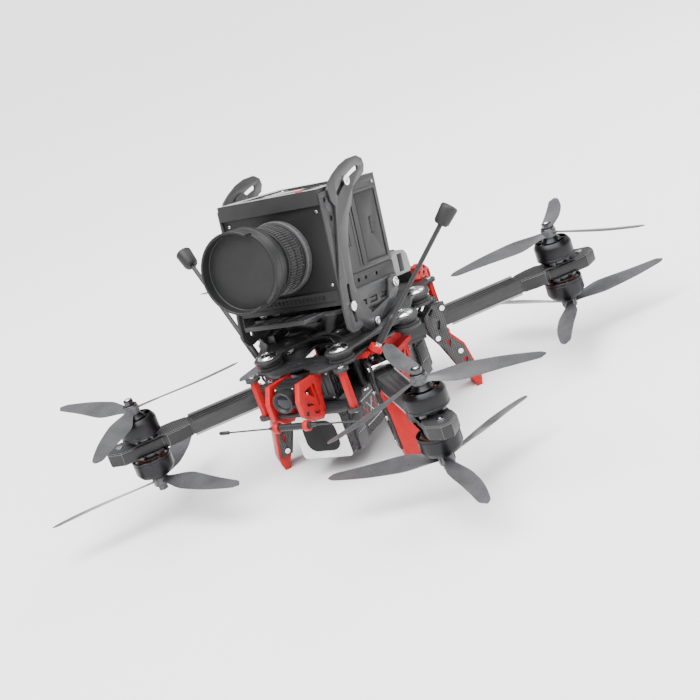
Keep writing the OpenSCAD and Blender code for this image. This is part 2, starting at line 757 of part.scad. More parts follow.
module cage_plates() {
    color(carbon) mirror_pair() side_plate(cage_x, cage_t) difference() {
        cage_outline();
        translate([pivot_y, pivot_z]) {
            arc_slot2d(slot_r_upper, upper_screw_angle - tilt_up - 1.2,
                upper_screw_angle + tilt_down + 1.2, 2.1);
            arc_slot2d(slot_r_lower, lower_screw_angle - tilt_up - 1.2,
                lower_screw_angle + tilt_down + 1.2, 2.1);
            circle(2, $fn = 32);
        }
        holes(fixed_screw_points, 2);
    }
}

module cage_blocks() {
    color("dimgray") mirror_pair() difference() {
        translate([cage_x - 8, -48, isolator_top]) cube([8, 22, 7.6]);
        for (p = fixed_screw_points) translate([cage_x - 9, p[0], p[1]]) rotate([0, 90, 0])
            cylinder(r = 2, h = 20, $fn = 32);
    }
}

module cage_screws() {
    color("silver") mirror_pair() {
        for (p = fixed_screw_points) translate([cage_x + cage_t, p[0], p[1]])
            rotate([0, 90, 0]) screw(3.8, 1.8, 2, cage_t + 6);
        translate([cage_x + cage_t, pivot_y, pivot_z]) rotate([0, 90, 0])
            screw(4.2, 1.8, 2, cage_t + 1.2);
    }
}

// ---------------------------------------------------------------- tilting camera

cheek_x = camera_w / 2;

// the plate under the camera, the two cheeks beside it and the shoe between
module camera_cradle() {
    tray_t = 3.5;
    tray_top = cam_bottom - 4;
    color(carbon) {
        in_camera() {
            translate([0, 0, tray_top - tray_t]) linear_extrude(tray_t) difference() {
                union() {
                    translate([-30, -114]) square([60, 60]);
                    polygon([[-40, -84], [40, -84], [cheek_x, -70], [cheek_x, 4],
                        [-cheek_x, 4], [-cheek_x, -70]]);
                }
                for (x = [-22, -8, 8, 22]) slot2d([x, -106], [x, -84], 3);
                for (x = [-30, 0, 30]) slot2d([x, -50], [x, -20], 3);
            }
            translate([-20, -74, tray_top]) cube([40, 60, 4]);
            mirror_pair() side_plate(cheek_x, cheek_t) difference() {
                polygon([[-86, 150], [-86, 49], [-78, 46.5], [-20, 46.5], [5, 50], [7, 66], [-60, 66],
                    [-64, 72], [-68, 144], [-50, 146], [-40, 148.5], [-39, 157], [-45, 160.5],
                    [-54, 158], [-60, 152]]);
                translate([pivot_s, pivot_h]) circle(2.05, $fn = 32);
                for (x = [-62, -44, -26]) translate([x, 50]) square([13, 5]);
                translate([-79.2, 144]) circle(2, $fn = 24);
                translate([-75, 128]) circle(2.4, $fn = 24);
                translate([-76, 96]) circle(2.4, $fn = 24);
            }
        }
    }
}

// screws of the cradle that slide along the arc slots
module tilt_screws() {
    color("silver") mirror_pair() for (q = [[slot_r_upper, upper_screw_angle],
        [slot_r_lower, lower_screw_angle]])
        translate([cage_x + cage_t + gap, pivot_y + q[0] * cos(q[1]), pivot_z + q[0] * sin(q[1])])
            rotate([0, 90, 0]) screw(4.2, 1.8, 1.7, cage_t + 2 * gap + 0.1);
}

door_front = -31.7;
door_len = 32.2;
door_low = cam_bottom + 25.3;
door_high = cam_bottom + 82.7;

module camera_body() {
    depth = cam_back - cam_front;
    w = camera_w - 0.1;
    color([0.25, 0.25, 0.26]) in_camera() difference() {
        translate([-w / 2, cam_front, cam_bottom]) cube([w, depth, cam_top - cam_bottom]);
        // recessed face between a brow and a lower lip
        translate([-w / 2 - 1, cam_front - 1, cam_bottom + 12])
            cube([w + 2, 4, cam_top - cam_bottom - 25]);
        // lens throat
        translate([0, cam_front + 3 - 1, lens_h]) rotate([-90, 0, 0])
            cylinder(r = 23, h = 20, $fn = fine);
        // recessed rear panel above the batteries
        translate([-42, cam_back - 1.5, cam_bottom + 34]) cube([84, 4, 50]);
        // grooves along the sides
        for (s = [-1, 1]) {
            translate([s * w / 2 - 1, cam_front + 26, cam_bottom + 19.5]) cube([2, 70, 1.2]);
            translate([s * w / 2 - 1, cam_front + 46, cam_bottom + 24]) cube([2, 1.6, 60]);
        }
        // door opening on the left side
        translate([w / 2 - 3.2, door_front - 0.3, door_low - 0.3])
            cube([5, door_len + 1.6 + 0.6, door_high - door_low + 0.6]);
        // sunk top panel
        translate([-36, cam_front + 12, cam_top - 1.2]) cube([72, 70, 3]);
        // record button well
        translate([30, cam_front + 5, cam_top - 3]) cylinder(r = 3.4, h = 6, $fn = 32);
        // side holes
        for (y = [-52, -40, -22], s = [-1, 1]) translate([s * w / 2 - 2, y, 71.6])
            rotate([0, 90, 0]) cylinder(r = 1.8, h = 4, $fn = 24);
    }
}

// two packs side by side, low on the back of the camera
module camera_battery() {
    color([0.55, 0.55, 0.56]) in_camera() for (x = [0.4, -48.4])
        side_plate(x, 48) polygon([[cam_back, 61], [38.5, 61], [40.5, 64.5], [38.5, 77], [34, 81.5],
            [24, 82.8], [14, 80.6], [cam_back, 76]]);
}

// media door on the left side, turning on its rounded rear edge
module media_door() {
    door_t = 2.6;
    hinge_x = camera_w / 2 - 0.05 - door_t / 2;
    color([0.3, 0.3, 0.31]) in_camera() difference() {
        union() {
            translate([hinge_x - door_t / 2, door_front, door_low])
                cube([door_t, door_len, door_high - door_low]);
            translate([hinge_x, door_front + door_len, door_low])
                cylinder(r = door_t / 2, h = door_high - door_low, $fn = 48);
        }
        translate([camera_w / 2 - 1.2, door_front + 16, cam_bottom + 47]) cube([4, 4, 14]);
    }
}

module record_button() {
    color("firebrick") in_camera() translate([30, cam_front + 5, cam_top - 2])
        cylinder(r = 3, h = 3.4, $fn = 32);
}

// mount, fixed tube, hood and front glass of the lens
module lens_barrel() {
    face = cam_front + 3;
    color([0.2, 0.2, 0.2]) in_camera() translate([0, face, lens_h]) rotate([90, 0, 0]) {
        difference() {
            union() {
                cylinder(r = 30.8, h = 6, $fn = fine);
                translate([0, 0, 6]) cylinder(r = 27.2, h = 30, $fn = fine);
                translate([0, 0, -12]) cylinder(r = 22.5, h = 12, $fn = fine);
            }
            translate([0, 0, -13]) cylinder(r = 15, h = 60, $fn = fine);
        }
        translate([0, 0, 36]) rotate_extrude($fn = fine) polygon([[0, 0], [27.2, 0], [29, 1],
            [hood_r, 8], [hood_r, 21.4], [hood_r - 0.8, 22.2], [0, 22.2]]);
        translate([0, 0, 58]) rotate([0, 0, 60]) rotate_extrude(angle = 240, $fn = fine)
            translate([hood_r - 2, 0]) square([2, 8.6]);
    }
}

// ribbed ring that turns on the fixed tube
module focus_ring() {
    face = cam_front + 3;
    ribs = 60;
    color([0.1, 0.1, 0.1]) in_camera() translate([0, face, lens_h]) rotate([90, 0, 0])
        translate([0, 0, 10]) difference() {
            cylinder(r = 29.6, h = 22, $fn = 96);
            translate([0, 0, -1]) cylinder(r = 27.25, h = 30, $fn = fine);
            for (i = [0:ribs - 1]) rotate([0, 0, i * 360 / ribs]) translate([29, -0.6, 5])
                cube([2, 1.2, 12]);
        }
}

// ---------------------------------------------------------------- drawing

bottom_plate();
middle_plate();
upper_plate();
arm_front_left();
arm_front_right();
arm_rear_left();
arm_rear_right();
arm_sheets();
motor_mounts();
stators_upper();
stators_lower();
standoffs();
frame_screws();
leg_plates();
leg_feet();
leg_screws();
bell_front_left_upper();
bell_front_right_upper();
bell_rear_left_upper();
bell_rear_right_upper();
bell_front_left_lower();
bell_front_right_lower();
bell_rear_left_lower();
bell_rear_right_lower();
propeller_front_left_upper();
propeller_front_right_upper();
propeller_rear_left_upper();
propeller_rear_right_upper();
propeller_front_left_lower();
propeller_front_right_lower();
propeller_rear_left_lower();
propeller_rear_right_lower();
pilot_camera_brackets();
crash_bar();
receiver_antenna();
pilot_camera();
flight_stack();
video_transmitter();
receiver();
battery_pack();
battery_straps();
battery_lead();
video_antennas();
antenna_clips();
side_bracket();
tail_bracket();
isolator_plate();
damper_rubbers();
damper_caps();
cage_plates();
cage_blocks();
cage_screws();
camera_cradle();
camera_body();
camera_battery();
lens_barrel();
focus_ring();
media_door();
record_button();
tilt_screws();
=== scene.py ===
"""Looks of the coaxial camera drone: carbon frame, motors, propellers, cinema camera and soft parts."""

import itertools
import json
import math
import random
from contextlib import contextmanager

import bmesh
import bpy
from mathutils import Matrix, Vector


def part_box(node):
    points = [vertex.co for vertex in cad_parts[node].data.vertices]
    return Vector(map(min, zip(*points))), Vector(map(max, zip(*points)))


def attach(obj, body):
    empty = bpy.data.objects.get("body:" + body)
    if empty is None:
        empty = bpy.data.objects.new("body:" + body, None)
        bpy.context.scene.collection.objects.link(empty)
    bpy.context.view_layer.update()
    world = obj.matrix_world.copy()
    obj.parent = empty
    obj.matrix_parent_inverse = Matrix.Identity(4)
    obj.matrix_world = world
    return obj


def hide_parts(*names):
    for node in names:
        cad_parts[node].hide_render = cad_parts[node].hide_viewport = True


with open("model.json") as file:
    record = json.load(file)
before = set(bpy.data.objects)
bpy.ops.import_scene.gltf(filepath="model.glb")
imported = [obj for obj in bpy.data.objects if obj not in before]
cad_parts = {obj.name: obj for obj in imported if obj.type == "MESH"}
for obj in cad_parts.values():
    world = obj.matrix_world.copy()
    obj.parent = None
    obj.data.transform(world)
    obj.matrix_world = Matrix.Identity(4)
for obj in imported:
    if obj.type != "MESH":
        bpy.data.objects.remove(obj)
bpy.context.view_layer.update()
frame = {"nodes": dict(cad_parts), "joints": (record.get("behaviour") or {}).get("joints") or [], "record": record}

MM = 0.001
CORNERS = ("front_left", "front_right", "rear_left", "rear_right")
LEVELS = ("upper", "lower")
JOINTS = {joint["name"]: joint for joint in frame["joints"]}
BODY_OF = {node: body for body, nodes in frame["record"]["behaviour"]["bodies"].items() for node in nodes}


# ---- shader helpers

class Shader:
    """A principled material whose node graph is built with short calls."""

    def __init__(self, name, color=(0.5, 0.5, 0.5), rough=0.5, metal=0.0, **sockets):
        self.material = bpy.data.materials.new(name)
        self.material.use_nodes = True
        self.tree = self.material.node_tree
        self.bsdf = self.tree.nodes["Principled BSDF"]
        self.set("Base Color", (*color, 1.0))
        self.set("Roughness", rough)
        self.set("Metallic", metal)
        self.set("Specular IOR Level", 0.3)
        for key, value in sockets.items():
            self.set(key.replace("_", " "), value)
        self.coords = self.node("TexCoord")

    def node(self, kind):
        return self.tree.nodes.new("ShaderNode" + kind)

    def link(self, output, socket):
        self.tree.links.new(output, socket)

    def feed(self, socket, value):
        if isinstance(value, bpy.types.NodeSocket):
            self.link(value, socket)
        else:
            socket.default_value = value

    def set(self, socket, value):
        self.feed(self.bsdf.inputs[socket], value)

    def math(self, operation, *values):
        node = self.node("Math")
        node.operation = operation
        for socket, value in zip(node.inputs, values):
            self.feed(socket, value)
        return node.outputs[0]

    def position(self):
        """The point in the row frame at rest, in millimetres, as x, y and z."""
        split = self.node("SeparateXYZ")
        self.link(self.coords.outputs["Object"], split.inputs[0])
        return [self.math("MULTIPLY", axis, 1 / MM) for axis in split.outputs]

    def normal(self):
        split = self.node("SeparateXYZ")
        self.link(self.coords.outputs["Normal"], split.inputs[0])
        return list(split.outputs)

    def noise(self, size_mm, detail=3.0, rough=0.6, stretch=(1, 1, 1)):
        """Noise whose features are about size_mm long."""
        mapping = self.node("Mapping")
        mapping.inputs["Scale"].default_value = [1 / s for s in stretch]
        self.link(self.coords.outputs["Object"], mapping.inputs[0])
        node = self.node("TexNoise")
        node.inputs["Scale"].default_value = 1 / (size_mm * MM)
        node.inputs["Detail"].default_value = detail
        node.inputs["Roughness"].default_value = rough
        self.link(mapping.outputs[0], node.inputs["Vector"])
        return node.outputs["Fac"]

    def span(self, value, low, high, to_low=0.0, to_high=1.0):
        node = self.node("MapRange")
        self.feed(node.inputs["Value"], value)
        for key, number in (("From Min", low), ("From Max", high), ("To Min", to_low), ("To Max", to_high)):
            node.inputs[key].default_value = number
        return node.outputs["Result"]

    def mix(self, factor, low, high):
        """Blend of two colours, given as RGB or as sockets."""
        node = self.node("Mix")
        node.data_type = "RGBA"
        self.feed(node.inputs[0], factor)
        for socket, value in ((node.inputs[6], low), (node.inputs[7], high)):
            self.feed(socket, value if isinstance(value, bpy.types.NodeSocket) else (*value, 1.0))
        return node.outputs[2]

    def tint(self, value, low, high, dark, light):
        """Base colour that goes from dark to light as the value goes from low to high."""
        self.set("Base Color", self.mix(self.span(value, low, high), dark, light))

    def roughen(self, value, smooth, rough):
        """Roughness that follows a noise."""
        self.set("Roughness", self.span(value, 0.3, 0.7, smooth, rough))

    def bump(self, height, depth_mm, strength=1.0):
        node = self.node("Bump")
        node.inputs["Strength"].default_value = strength
        node.inputs["Distance"].default_value = depth_mm * MM
        self.link(height, node.inputs["Height"])
        self.set("Normal", node.outputs[0])


# ---- materials

def twill(shader, u, v, pitch, repeat):
    """A weave that repeats after some tows: 4 is a 2x2 twill and 2 is a plain weave.

    Returns whether the warp is on top, and how round the tow is there."""
    calc = shader.math
    u = calc("DIVIDE", u, pitch)
    v = calc("DIVIDE", v, pitch)
    step = calc("ADD", calc("FLOOR", u), calc("FLOOR", v))
    over = calc("LESS_THAN", calc("FLOORED_MODULO", step, float(repeat)), repeat / 2)
    across_u = calc("MULTIPLY", calc("PINGPONG", u, 0.5), 2.0)
    across_v = calc("MULTIPLY", calc("PINGPONG", v, 0.5), 2.0)
    crown = calc("ADD", calc("MULTIPLY", across_u, over),
                 calc("MULTIPLY", across_v, calc("SUBTRACT", 1.0, over)))
    return over, calc("POWER", crown, 0.5)


def carbon(name, plane, pitch, dark, light, edge=(0.03, 0.03, 0.031)):
    """Woven plate: weave on the faces of its plane, layered grey on the cut edges.

    plane is xy, yz or rz, where r is the distance from the middle of the drone."""
    shader = Shader(name, rough=0.42, Coat_Weight=0.15, Coat_Roughness=0.3)
    calc = shader.math
    x, y, z = shader.position()
    nx, ny, nz = shader.normal()
    radius = calc("SQRT", calc("ADD", calc("MULTIPLY", x, x), calc("MULTIPLY", y, y)))
    a, b, facing = {"xy": (x, y, nz), "yz": (y, z, nx), "rz": (radius, z, None)}[plane]
    if plane == "rz":
        over, crown = twill(shader, calc("ADD", a, b), calc("SUBTRACT", a, b), pitch, 2)
    else:
        over, crown = twill(shader, a, b, pitch, 4)
    tone = calc("ADD", calc("MULTIPLY", over, 0.7), calc("MULTIPLY", crown, 0.3))
    weave = shader.mix(tone, dark, light)
    layers = calc("PINGPONG", calc("MULTIPLY", {"xy": z, "yz": x, "rz": y}[plane], 2.4), 0.5)
    cut = shader.mix(layers, [c * 0.7 for c in edge], edge)
    if facing is None:
        along = calc("ADD", calc("MULTIPLY", nx, x), calc("MULTIPLY", ny, y))
        radial = calc("ABSOLUTE", calc("DIVIDE", along, radius))
        lying = calc("ABSOLUTE", nz)
        flat = calc("LESS_THAN", calc("MAXIMUM", radial, lying), 0.45)
    else:
        flat = calc("GREATER_THAN", calc("ABSOLUTE", facing), 0.8)
    shader.set("Base Color", shader.mix(flat, cut, weave))
    shader.set("Roughness", shader.span(calc("MULTIPLY", over, flat), 0, 1, 0.5, 0.34))
    shader.bump(calc("MULTIPLY", crown, flat), 0.05, 0.6)
    return shader.material


def spar_carbon(name):
    """Unidirectional carbon with a fine lengthwise grain."""
    shader = Shader(name, rough=0.45, Coat_Weight=0.1, Coat_Roughness=0.3)
    grain = shader.noise(6, 4.0, 0.7, stretch=(3, 3, 0.25))
    fine = shader.noise(0.6, 2.0)
    tone = shader.math("ADD", shader.math("MULTIPLY", grain, 0.7), shader.math("MULTIPLY", fine, 0.3))
    shader.tint(tone, 0.35, 0.65, (0.016, 0.016, 0.0165), (0.032, 0.032, 0.033))
    shader.roughen(fine, 0.34, 0.5)
    shader.bump(grain, 0.05, 0.4)
    return shader.material


def printed(name, color, layer_mm=0.3):
    """Flexible printed plastic: fine layer lines, a slight mottle and a soft sheen."""
    shader = Shader(name, color, 0.5, Sheen_Weight=0.05, Sheen_Roughness=0.4)
    calc = shader.math
    z = shader.position()[2]
    mottle = shader.noise(1.6, 4.0, 0.7)
    line = calc("PINGPONG", calc("DIVIDE", z, layer_mm), 0.5)
    deep = [c * 0.62 for c in color]
    shade = calc("ADD", calc("MULTIPLY", line, 0.8), shader.span(mottle, 0.35, 0.65, 0.2, 0.8))
    shader.tint(shade, 0.1, 1.1, deep, color)
    shader.roughen(mottle, 0.38, 0.56)
    height = calc("ADD", line, calc("MULTIPLY", mottle, 0.6))
    shader.bump(height, 0.08, 0.5)
    return shader.material


def metal(name, color, rough=0.25, grain_mm=0.5, spread=0.12):
    """Bare or anodised metal with a fine roughness variation."""
    shader = Shader(name, color, rough, 1.0)
    grain = shader.noise(grain_mm, 3.0)
    cloud = shader.noise(9, 3.0)
    both = shader.math("ADD", shader.math("MULTIPLY", grain, 0.6), shader.math("MULTIPLY", cloud, 0.4))
    shader.roughen(both, max(0.05, rough - spread), rough + spread)
    shader.tint(cloud, 0.3, 0.7, [c * 0.88 for c in color], color)
    shader.bump(grain, 0.01, 0.3)
    return shader.material


def moulded(name, color, rough=0.5, grain_mm=0.35, depth_mm=0.02, sheen=0.0, variation=0.12):
    """Moulded or painted plastic with a fine leathered grain."""
    shader = Shader(name, color, rough, Sheen_Weight=sheen)
    grain = shader.noise(grain_mm, 2.0)
    cloud = shader.noise(14, 3.0)
    dark, light = ([c * (1 + change) for c in color] for change in (-variation, variation))
    shader.tint(cloud, 0.3, 0.7, dark, light)
    shader.roughen(grain, rough - 0.08, rough + 0.08)
    shader.bump(grain, depth_mm, 0.5)
    return shader.material


def smoke_blade(name):
    """Glossy grey propeller plastic, with faint flow marks along the blades."""
    shader = Shader(name, (0.1, 0.1, 0.105), 0.3, Coat_Weight=0.15, Coat_Roughness=0.15)
    cloud = shader.noise(24, 3.0)
    grain = shader.noise(1.2, 2.0)
    shader.tint(cloud, 0.3, 0.7, (0.045, 0.045, 0.048), (0.075, 0.075, 0.08))
    shader.roughen(grain, 0.26, 0.36)
    shader.bump(grain, 0.01, 0.3)
    return shader.material


def copper(name):
    """Enamelled winding: fine round wires side by side."""
    shader = Shader(name, (0.55, 0.12, 0.06), 0.3, 0.85)
    z = shader.position()[2]
    wire = shader.math("PINGPONG", shader.math("DIVIDE", z, 0.45), 0.5)
    tint = shader.noise(3, 2.0)
    shader.tint(tint, 0.3, 0.7, (0.42, 0.07, 0.04), (0.75, 0.2, 0.1))
    shader.bump(wire, 0.2, 0.9)
    return shader.material


def rubber(name, color=(0.018, 0.018, 0.018), rough=0.62):
    shader = Shader(name, color, rough, Sheen_Weight=0.2, Sheen_Roughness=0.5)
    grain = shader.noise(0.5, 3.0)
    dust = shader.noise(7, 4.0, 0.7)
    shader.tint(dust, 0.5, 0.8, color, [c * 1.9 for c in color])
    shader.roughen(grain, rough - 0.1, rough + 0.08)
    shader.bump(grain, 0.04, 0.5)
    return shader.material


def webbing(name):
    """Woven strap: a tight grid of tows with a little fuzz."""
    shader = Shader(name, (0.03, 0.03, 0.03), 0.8, Sheen_Weight=0.4, Sheen_Roughness=0.5)
    calc = shader.math
    x, y, z = shader.position()
    rib = calc("PINGPONG", calc("DIVIDE", y, 1.1), 0.5)
    cross = calc("PINGPONG", calc("DIVIDE", calc("ADD", x, z), 0.8), 0.5)
    weave = calc("ADD", rib, cross)
    fuzz = shader.noise(0.5, 3.0)
    shader.tint(weave, 0.2, 0.9, (0.015, 0.015, 0.016), (0.05, 0.05, 0.052))
    shader.bump(calc("ADD", weave, fuzz), 0.12, 0.7)
    return shader.material


def board(name):
    """Solder mask with traces seen through it."""
    shader = Shader(name, (0.02, 0.025, 0.03), 0.35, Coat_Weight=0.4)
    calc = shader.math
    x, y = shader.position()[:2]
    track_a = calc("LESS_THAN", calc("PINGPONG", calc("DIVIDE", x, 1.7), 0.5), 0.16)
    track_b = calc("LESS_THAN", calc("PINGPONG", calc("DIVIDE", y, 2.3), 0.5), 0.12)
    patch = calc("GREATER_THAN", shader.noise(6, 1.0), 0.52)
    track = calc("MULTIPLY", calc("MAXIMUM", track_a, track_b), patch)
    shader.set("Base Color", shader.mix(track, (0.012, 0.014, 0.018), (0.05, 0.055, 0.05)))
    return shader.material


# ---- mesh helpers

def turned(degrees, axis="Z"):
    return Matrix.Rotation(math.radians(degrees), 4, axis)


def moved(offset):
    return Matrix.Translation(offset)


@contextmanager
def placed(bm, matrix):
    """Moves everything that is added to the mesh inside the with block."""
    before = set(bm.verts)
    yield
    bmesh.ops.transform(bm, matrix=matrix, verts=[vert for vert in bm.verts if vert not in before])


def added(name, data):
    """A new object in the scene."""
    obj = bpy.data.objects.new(name, data)
    bpy.context.scene.collection.objects.link(obj)
    return obj


def aimed(direction):
    """A rotation that turns z to a direction."""
    return Vector((0, 0, 1)).rotation_difference(Vector(direction)).to_matrix().to_4x4()


def skin(bm, loops, material=0):
    """Joins each loop of points to the next one."""
    for near, far in zip(loops, loops[1:]):
        for i in range(len(near)):
            j = (i + 1) % len(near)
            bm.faces.new((near[i], near[j], far[j], far[i])).material_index = material


def make_object(name, bm, materials, smooth_deg=35.0, matrix=None):
    """An object from a bmesh in millimetres, placed by matrix, with sharp edges past an angle."""
    bm.transform(Matrix.Scale(MM, 4))
    if matrix is not None:
        bm.transform(matrix)
    bmesh.ops.recalc_face_normals(bm, faces=bm.faces)
    limit = math.radians(smooth_deg)
    for edge in bm.edges:
        edge.smooth = not (edge.is_manifold and edge.calc_face_angle(0.0) > limit)
    for face in bm.faces:
        face.smooth = True
    mesh = bpy.data.meshes.new(name)
    bm.to_mesh(mesh)
    bm.free()
    obj = added(name, mesh)
    for material in materials:
        mesh.materials.append(material)
    return obj


def lathe(bm, profile, segments=64, material=0, closed=False):
    """Adds the solid made by turning [radius, z] points about z. A radius of 0 closes the end."""
    rings = []
    for radius, z in profile:
        if radius <= 1e-6:
            rings.append([bm.verts.new((0, 0, z))])
        else:
            rings.append([bm.verts.new((radius * math.cos(a), radius * math.sin(a), z))
                          for a in (2 * math.pi * i / segments for i in range(segments))])
    pairs = list(zip(rings, rings[1:]))
    if closed:
        pairs.append((rings[-1], rings[0]))
    for low, high in pairs:
        for i in range(segments):
            j = (i + 1) % segments
            if len(low) == 1 and len(high) == 1:
                continue
            if len(low) == 1:
                corners = (low[0], high[j], high[i])
            elif len(high) == 1:
                corners = (low[i], low[j], high[0])
            else:
                corners = (low[i], low[j], high[j], high[i])
            face = bm.faces.new(corners)
            face.material_index = material


def box(bm, low, high, material=0, bevel=0.0, matrix=None):
    """Adds a box between two corners, with its edges rounded by bevel."""
    verts = bmesh.ops.create_cube(bm, size=1.0)["verts"]
    bmesh.ops.scale(bm, vec=Vector(high) - Vector(low), verts=verts)
    bmesh.ops.translate(bm, vec=(Vector(high) + Vector(low)) / 2, verts=verts)
    if bevel > 0:
        edges = list({edge for vert in verts for edge in vert.link_edges})
        done = bmesh.ops.bevel(bm, geom=edges, offset=bevel, segments=2, affect="EDGES", profile=0.5)
        verts = list({vert for face in done["faces"] for vert in face.verts})
    for face in {face for vert in verts for face in vert.link_faces}:
        face.material_index = material
    if matrix is not None:
        bmesh.ops.transform(bm, matrix=matrix, verts=verts)


def bevelled(node, materials, width_mm=0.25, segments=2, edge_material=None, angle_deg=30.0):
    """A copy of a CAD node with its edges rounded. It stands for the node."""
    bm = bmesh.new()
    bm.from_mesh(frame["nodes"][node].data)
    bmesh.ops.remove_doubles(bm, verts=bm.verts, dist=2e-6)
    bmesh.ops.dissolve_limit(bm, angle_limit=math.radians(0.6), verts=bm.verts, edges=bm.edges)
    for face in bm.faces:
        face.smooth = True
        face.material_index = 0
    mesh = bpy.data.meshes.new(node + "_shape")
    bm.to_mesh(mesh)
    bm.free()
    obj = added(mesh.name, mesh)
    for material in materials:
        mesh.materials.append(material)
    bevel = obj.modifiers.new("edges", "BEVEL")
    bevel.width = width_mm * MM
    bevel.segments = segments
    bevel.limit_method = "ANGLE"
    bevel.angle_limit = math.radians(angle_deg)
    bevel.harden_normals = True
    bevel.use_clamp_overlap = True
    if edge_material is not None:
        bevel.material = edge_material
    stands_for(obj, node)
    return obj


def stands_for(obj, *nodes):
    """Rides on the nodes' body and hides them."""
    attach(obj, BODY_OF[nodes[0]])
    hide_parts(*nodes)
    return obj


def joins(obj, node):
    """Rides on a node's body, beside the node."""
    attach(obj, BODY_OF[node])
    return obj


# ---- materials in use

CARBON_FLAT = carbon("carbon_flat", "xy", 0.62, (0.008, 0.008, 0.0085), (0.044, 0.044, 0.046))
CARBON_SIDE = carbon("carbon_side", "yz", 0.62, (0.010, 0.010, 0.0105), (0.050, 0.050, 0.052))
CARBON_LEG = carbon("carbon_leg", "rz", 1.9, (0.005, 0.005, 0.0055), (0.066, 0.066, 0.068))
SPAR = spar_carbon("spar_carbon")
CUT_EDGE = moulded("cut_edge", (0.060, 0.060, 0.062), 0.5)
# pale grey: a painted highlight on the rounded edges of the motor mounts, and real tick marks on the lens rings
PAINTED_EDGE_HIGHLIGHT_AND_TICKS = moulded("painted_edge_highlight_and_ticks", (0.16, 0.16, 0.163), 0.5)
STRIP_GREY = moulded("strip_grey", (0.26, 0.26, 0.265), 0.45)
RED_PRINT = printed("red_print", (0.46, 0.004, 0.006))
RED_COLUMN = printed("red_column", (0.44, 0.004, 0.006), 0.5)
STEEL = metal("polished_steel", (0.86, 0.86, 0.87), 0.16, 0.8, 0.06)
SATIN_STEEL = metal("satin_steel", (0.62, 0.62, 0.64), 0.3, 0.5, 0.1)
MOTOR_BLACK = metal("motor_black", (0.030, 0.030, 0.032), 0.38, 0.3, 0.08)
MOTOR_GREY = metal("motor_grey", (0.10, 0.10, 0.105), 0.42, 0.4, 0.1)
COPPER = copper("copper_wire")
BLADE = smoke_blade("smoke_blade")
SATIN_BLACK = moulded("satin_black", (0.014, 0.014, 0.015), 0.45)
TUBE_BLACK = moulded("tube_black", (0.018, 0.018, 0.019), 0.42, 0.8)
RUBBER_TUBE = rubber("rubber_tube", (0.012, 0.012, 0.012), 0.5)
SHELL = moulded("camera_shell", (0.017, 0.017, 0.0175), 0.5, 0.25, 0.02)
SHELL_DARK = moulded("camera_shell_dark", (0.006, 0.006, 0.0065), 0.55, 0.3, 0.02)
PANEL_GREY = moulded("panel_grey", (0.30, 0.30, 0.30), 0.5, 0.7, 0.12, variation=0.3)
SCREEN = moulded("screen", (0.02, 0.021, 0.023), 0.12, 2.0, 0.002)
LENS_BLACK = moulded("lens_black", (0.016, 0.016, 0.0165), 0.42, 0.3, 0.012)
LENS_GREY = moulded("lens_grey", (0.065, 0.065, 0.067), 0.4, 0.3, 0.006)
HOOD = moulded("hood_black", (0.014, 0.014, 0.0145), 0.45, 0.3, 0.015)
HOOD_FACE = moulded("hood_face", (0.013, 0.013, 0.0135), 0.5, 0.4, 0.012)
GLASS = moulded("front_glass", (0.012, 0.012, 0.018), 0.05, 2.0, 0.0005)
BATTERY_GREY = moulded("battery_grey", (0.20, 0.20, 0.203), 0.46, 0.5, 0.03)
FERRULE = metal("ferrule", (0.72, 0.60, 0.57), 0.28, 0.5, 0.08)
DAMPER = rubber("damper_rubber", (0.012, 0.012, 0.012), 0.55)
FOCUS_RUBBER = rubber("focus_rubber", (0.010, 0.010, 0.0105), 0.55)
BOARD = board("solder_mask")
STRAP = webbing("strap_webbing")
BUTTON_RED = moulded("button_red", (0.5, 0.02, 0.02), 0.25, 0.8)
MOUNT_RIM = moulded("mount_rim", (0.018, 0.018, 0.0185), 0.45, 0.4, 0.015)
NUT_BLACK = metal("nut_black", (0.08, 0.08, 0.083), 0.3, 0.4, 0.1)
FOAM = moulded("foam_pad", (0.012, 0.012, 0.013), 0.85, 0.6, 0.06)
END_WHITE = moulded("end_white", (0.80, 0.80, 0.80), 0.4, 0.6)
LINE_RED = moulded("line_red", (0.55, 0.02, 0.025), 0.4, 0.6)
WRAP = moulded("battery_wrap", (0.030, 0.030, 0.033), 0.3, 2.2, 0.05, variation=0.25)
LEAD_BLACK = rubber("lead_black", (0.012, 0.012, 0.012), 0.42)
LEAD_RED = rubber("lead_red", (0.42, 0.012, 0.014), 0.42)
PLUG_AMBER = moulded("plug_amber", (0.75, 0.42, 0.03), 0.38, 0.6)


# ---- stage, light and camera

SURROUND = 0.55  # strength of the pale surround
STAGE_RADIUS = 80000


def looking(azimuth, elevation):
    """The turn of a light or camera that looks down from a bearing and a height in degrees."""
    return turned(azimuth) @ turned(90 - elevation, "X")


def pale_stage():
    """A wide pale floor under soft light from above, with a pale surround."""
    floor_shader = Shader("pale_floor", (0.93, 0.93, 0.93), 0.75)
    dust = floor_shader.noise(900, 2.0)
    floor_shader.set("Base Color", floor_shader.mix(dust, (0.95, 0.95, 0.95), (0.97, 0.97, 0.97)))
    bm = bmesh.new()
    bmesh.ops.create_circle(bm, cap_ends=True, segments=96, radius=STAGE_RADIUS)
    floor = make_object("floor", bm, [floor_shader.material])
    world = bpy.data.worlds.new("studio")
    world.use_nodes = True
    background = world.node_tree.nodes["Background"].inputs
    background["Color"].default_value = (1, 1, 1, 1)
    background["Strength"].default_value = SURROUND
    bpy.context.scene.world = world


def soft_light(name, azimuth, elevation, distance, size, watts):
    """A square area light aimed at the middle of the drone."""
    data = bpy.data.lights.new(name, "AREA")
    data.size = size
    data.energy = watts
    middle = moved((0, 0, 0.12))
    added(name, data).matrix_world = middle @ looking(azimuth, elevation) @ moved((0, 0, distance))


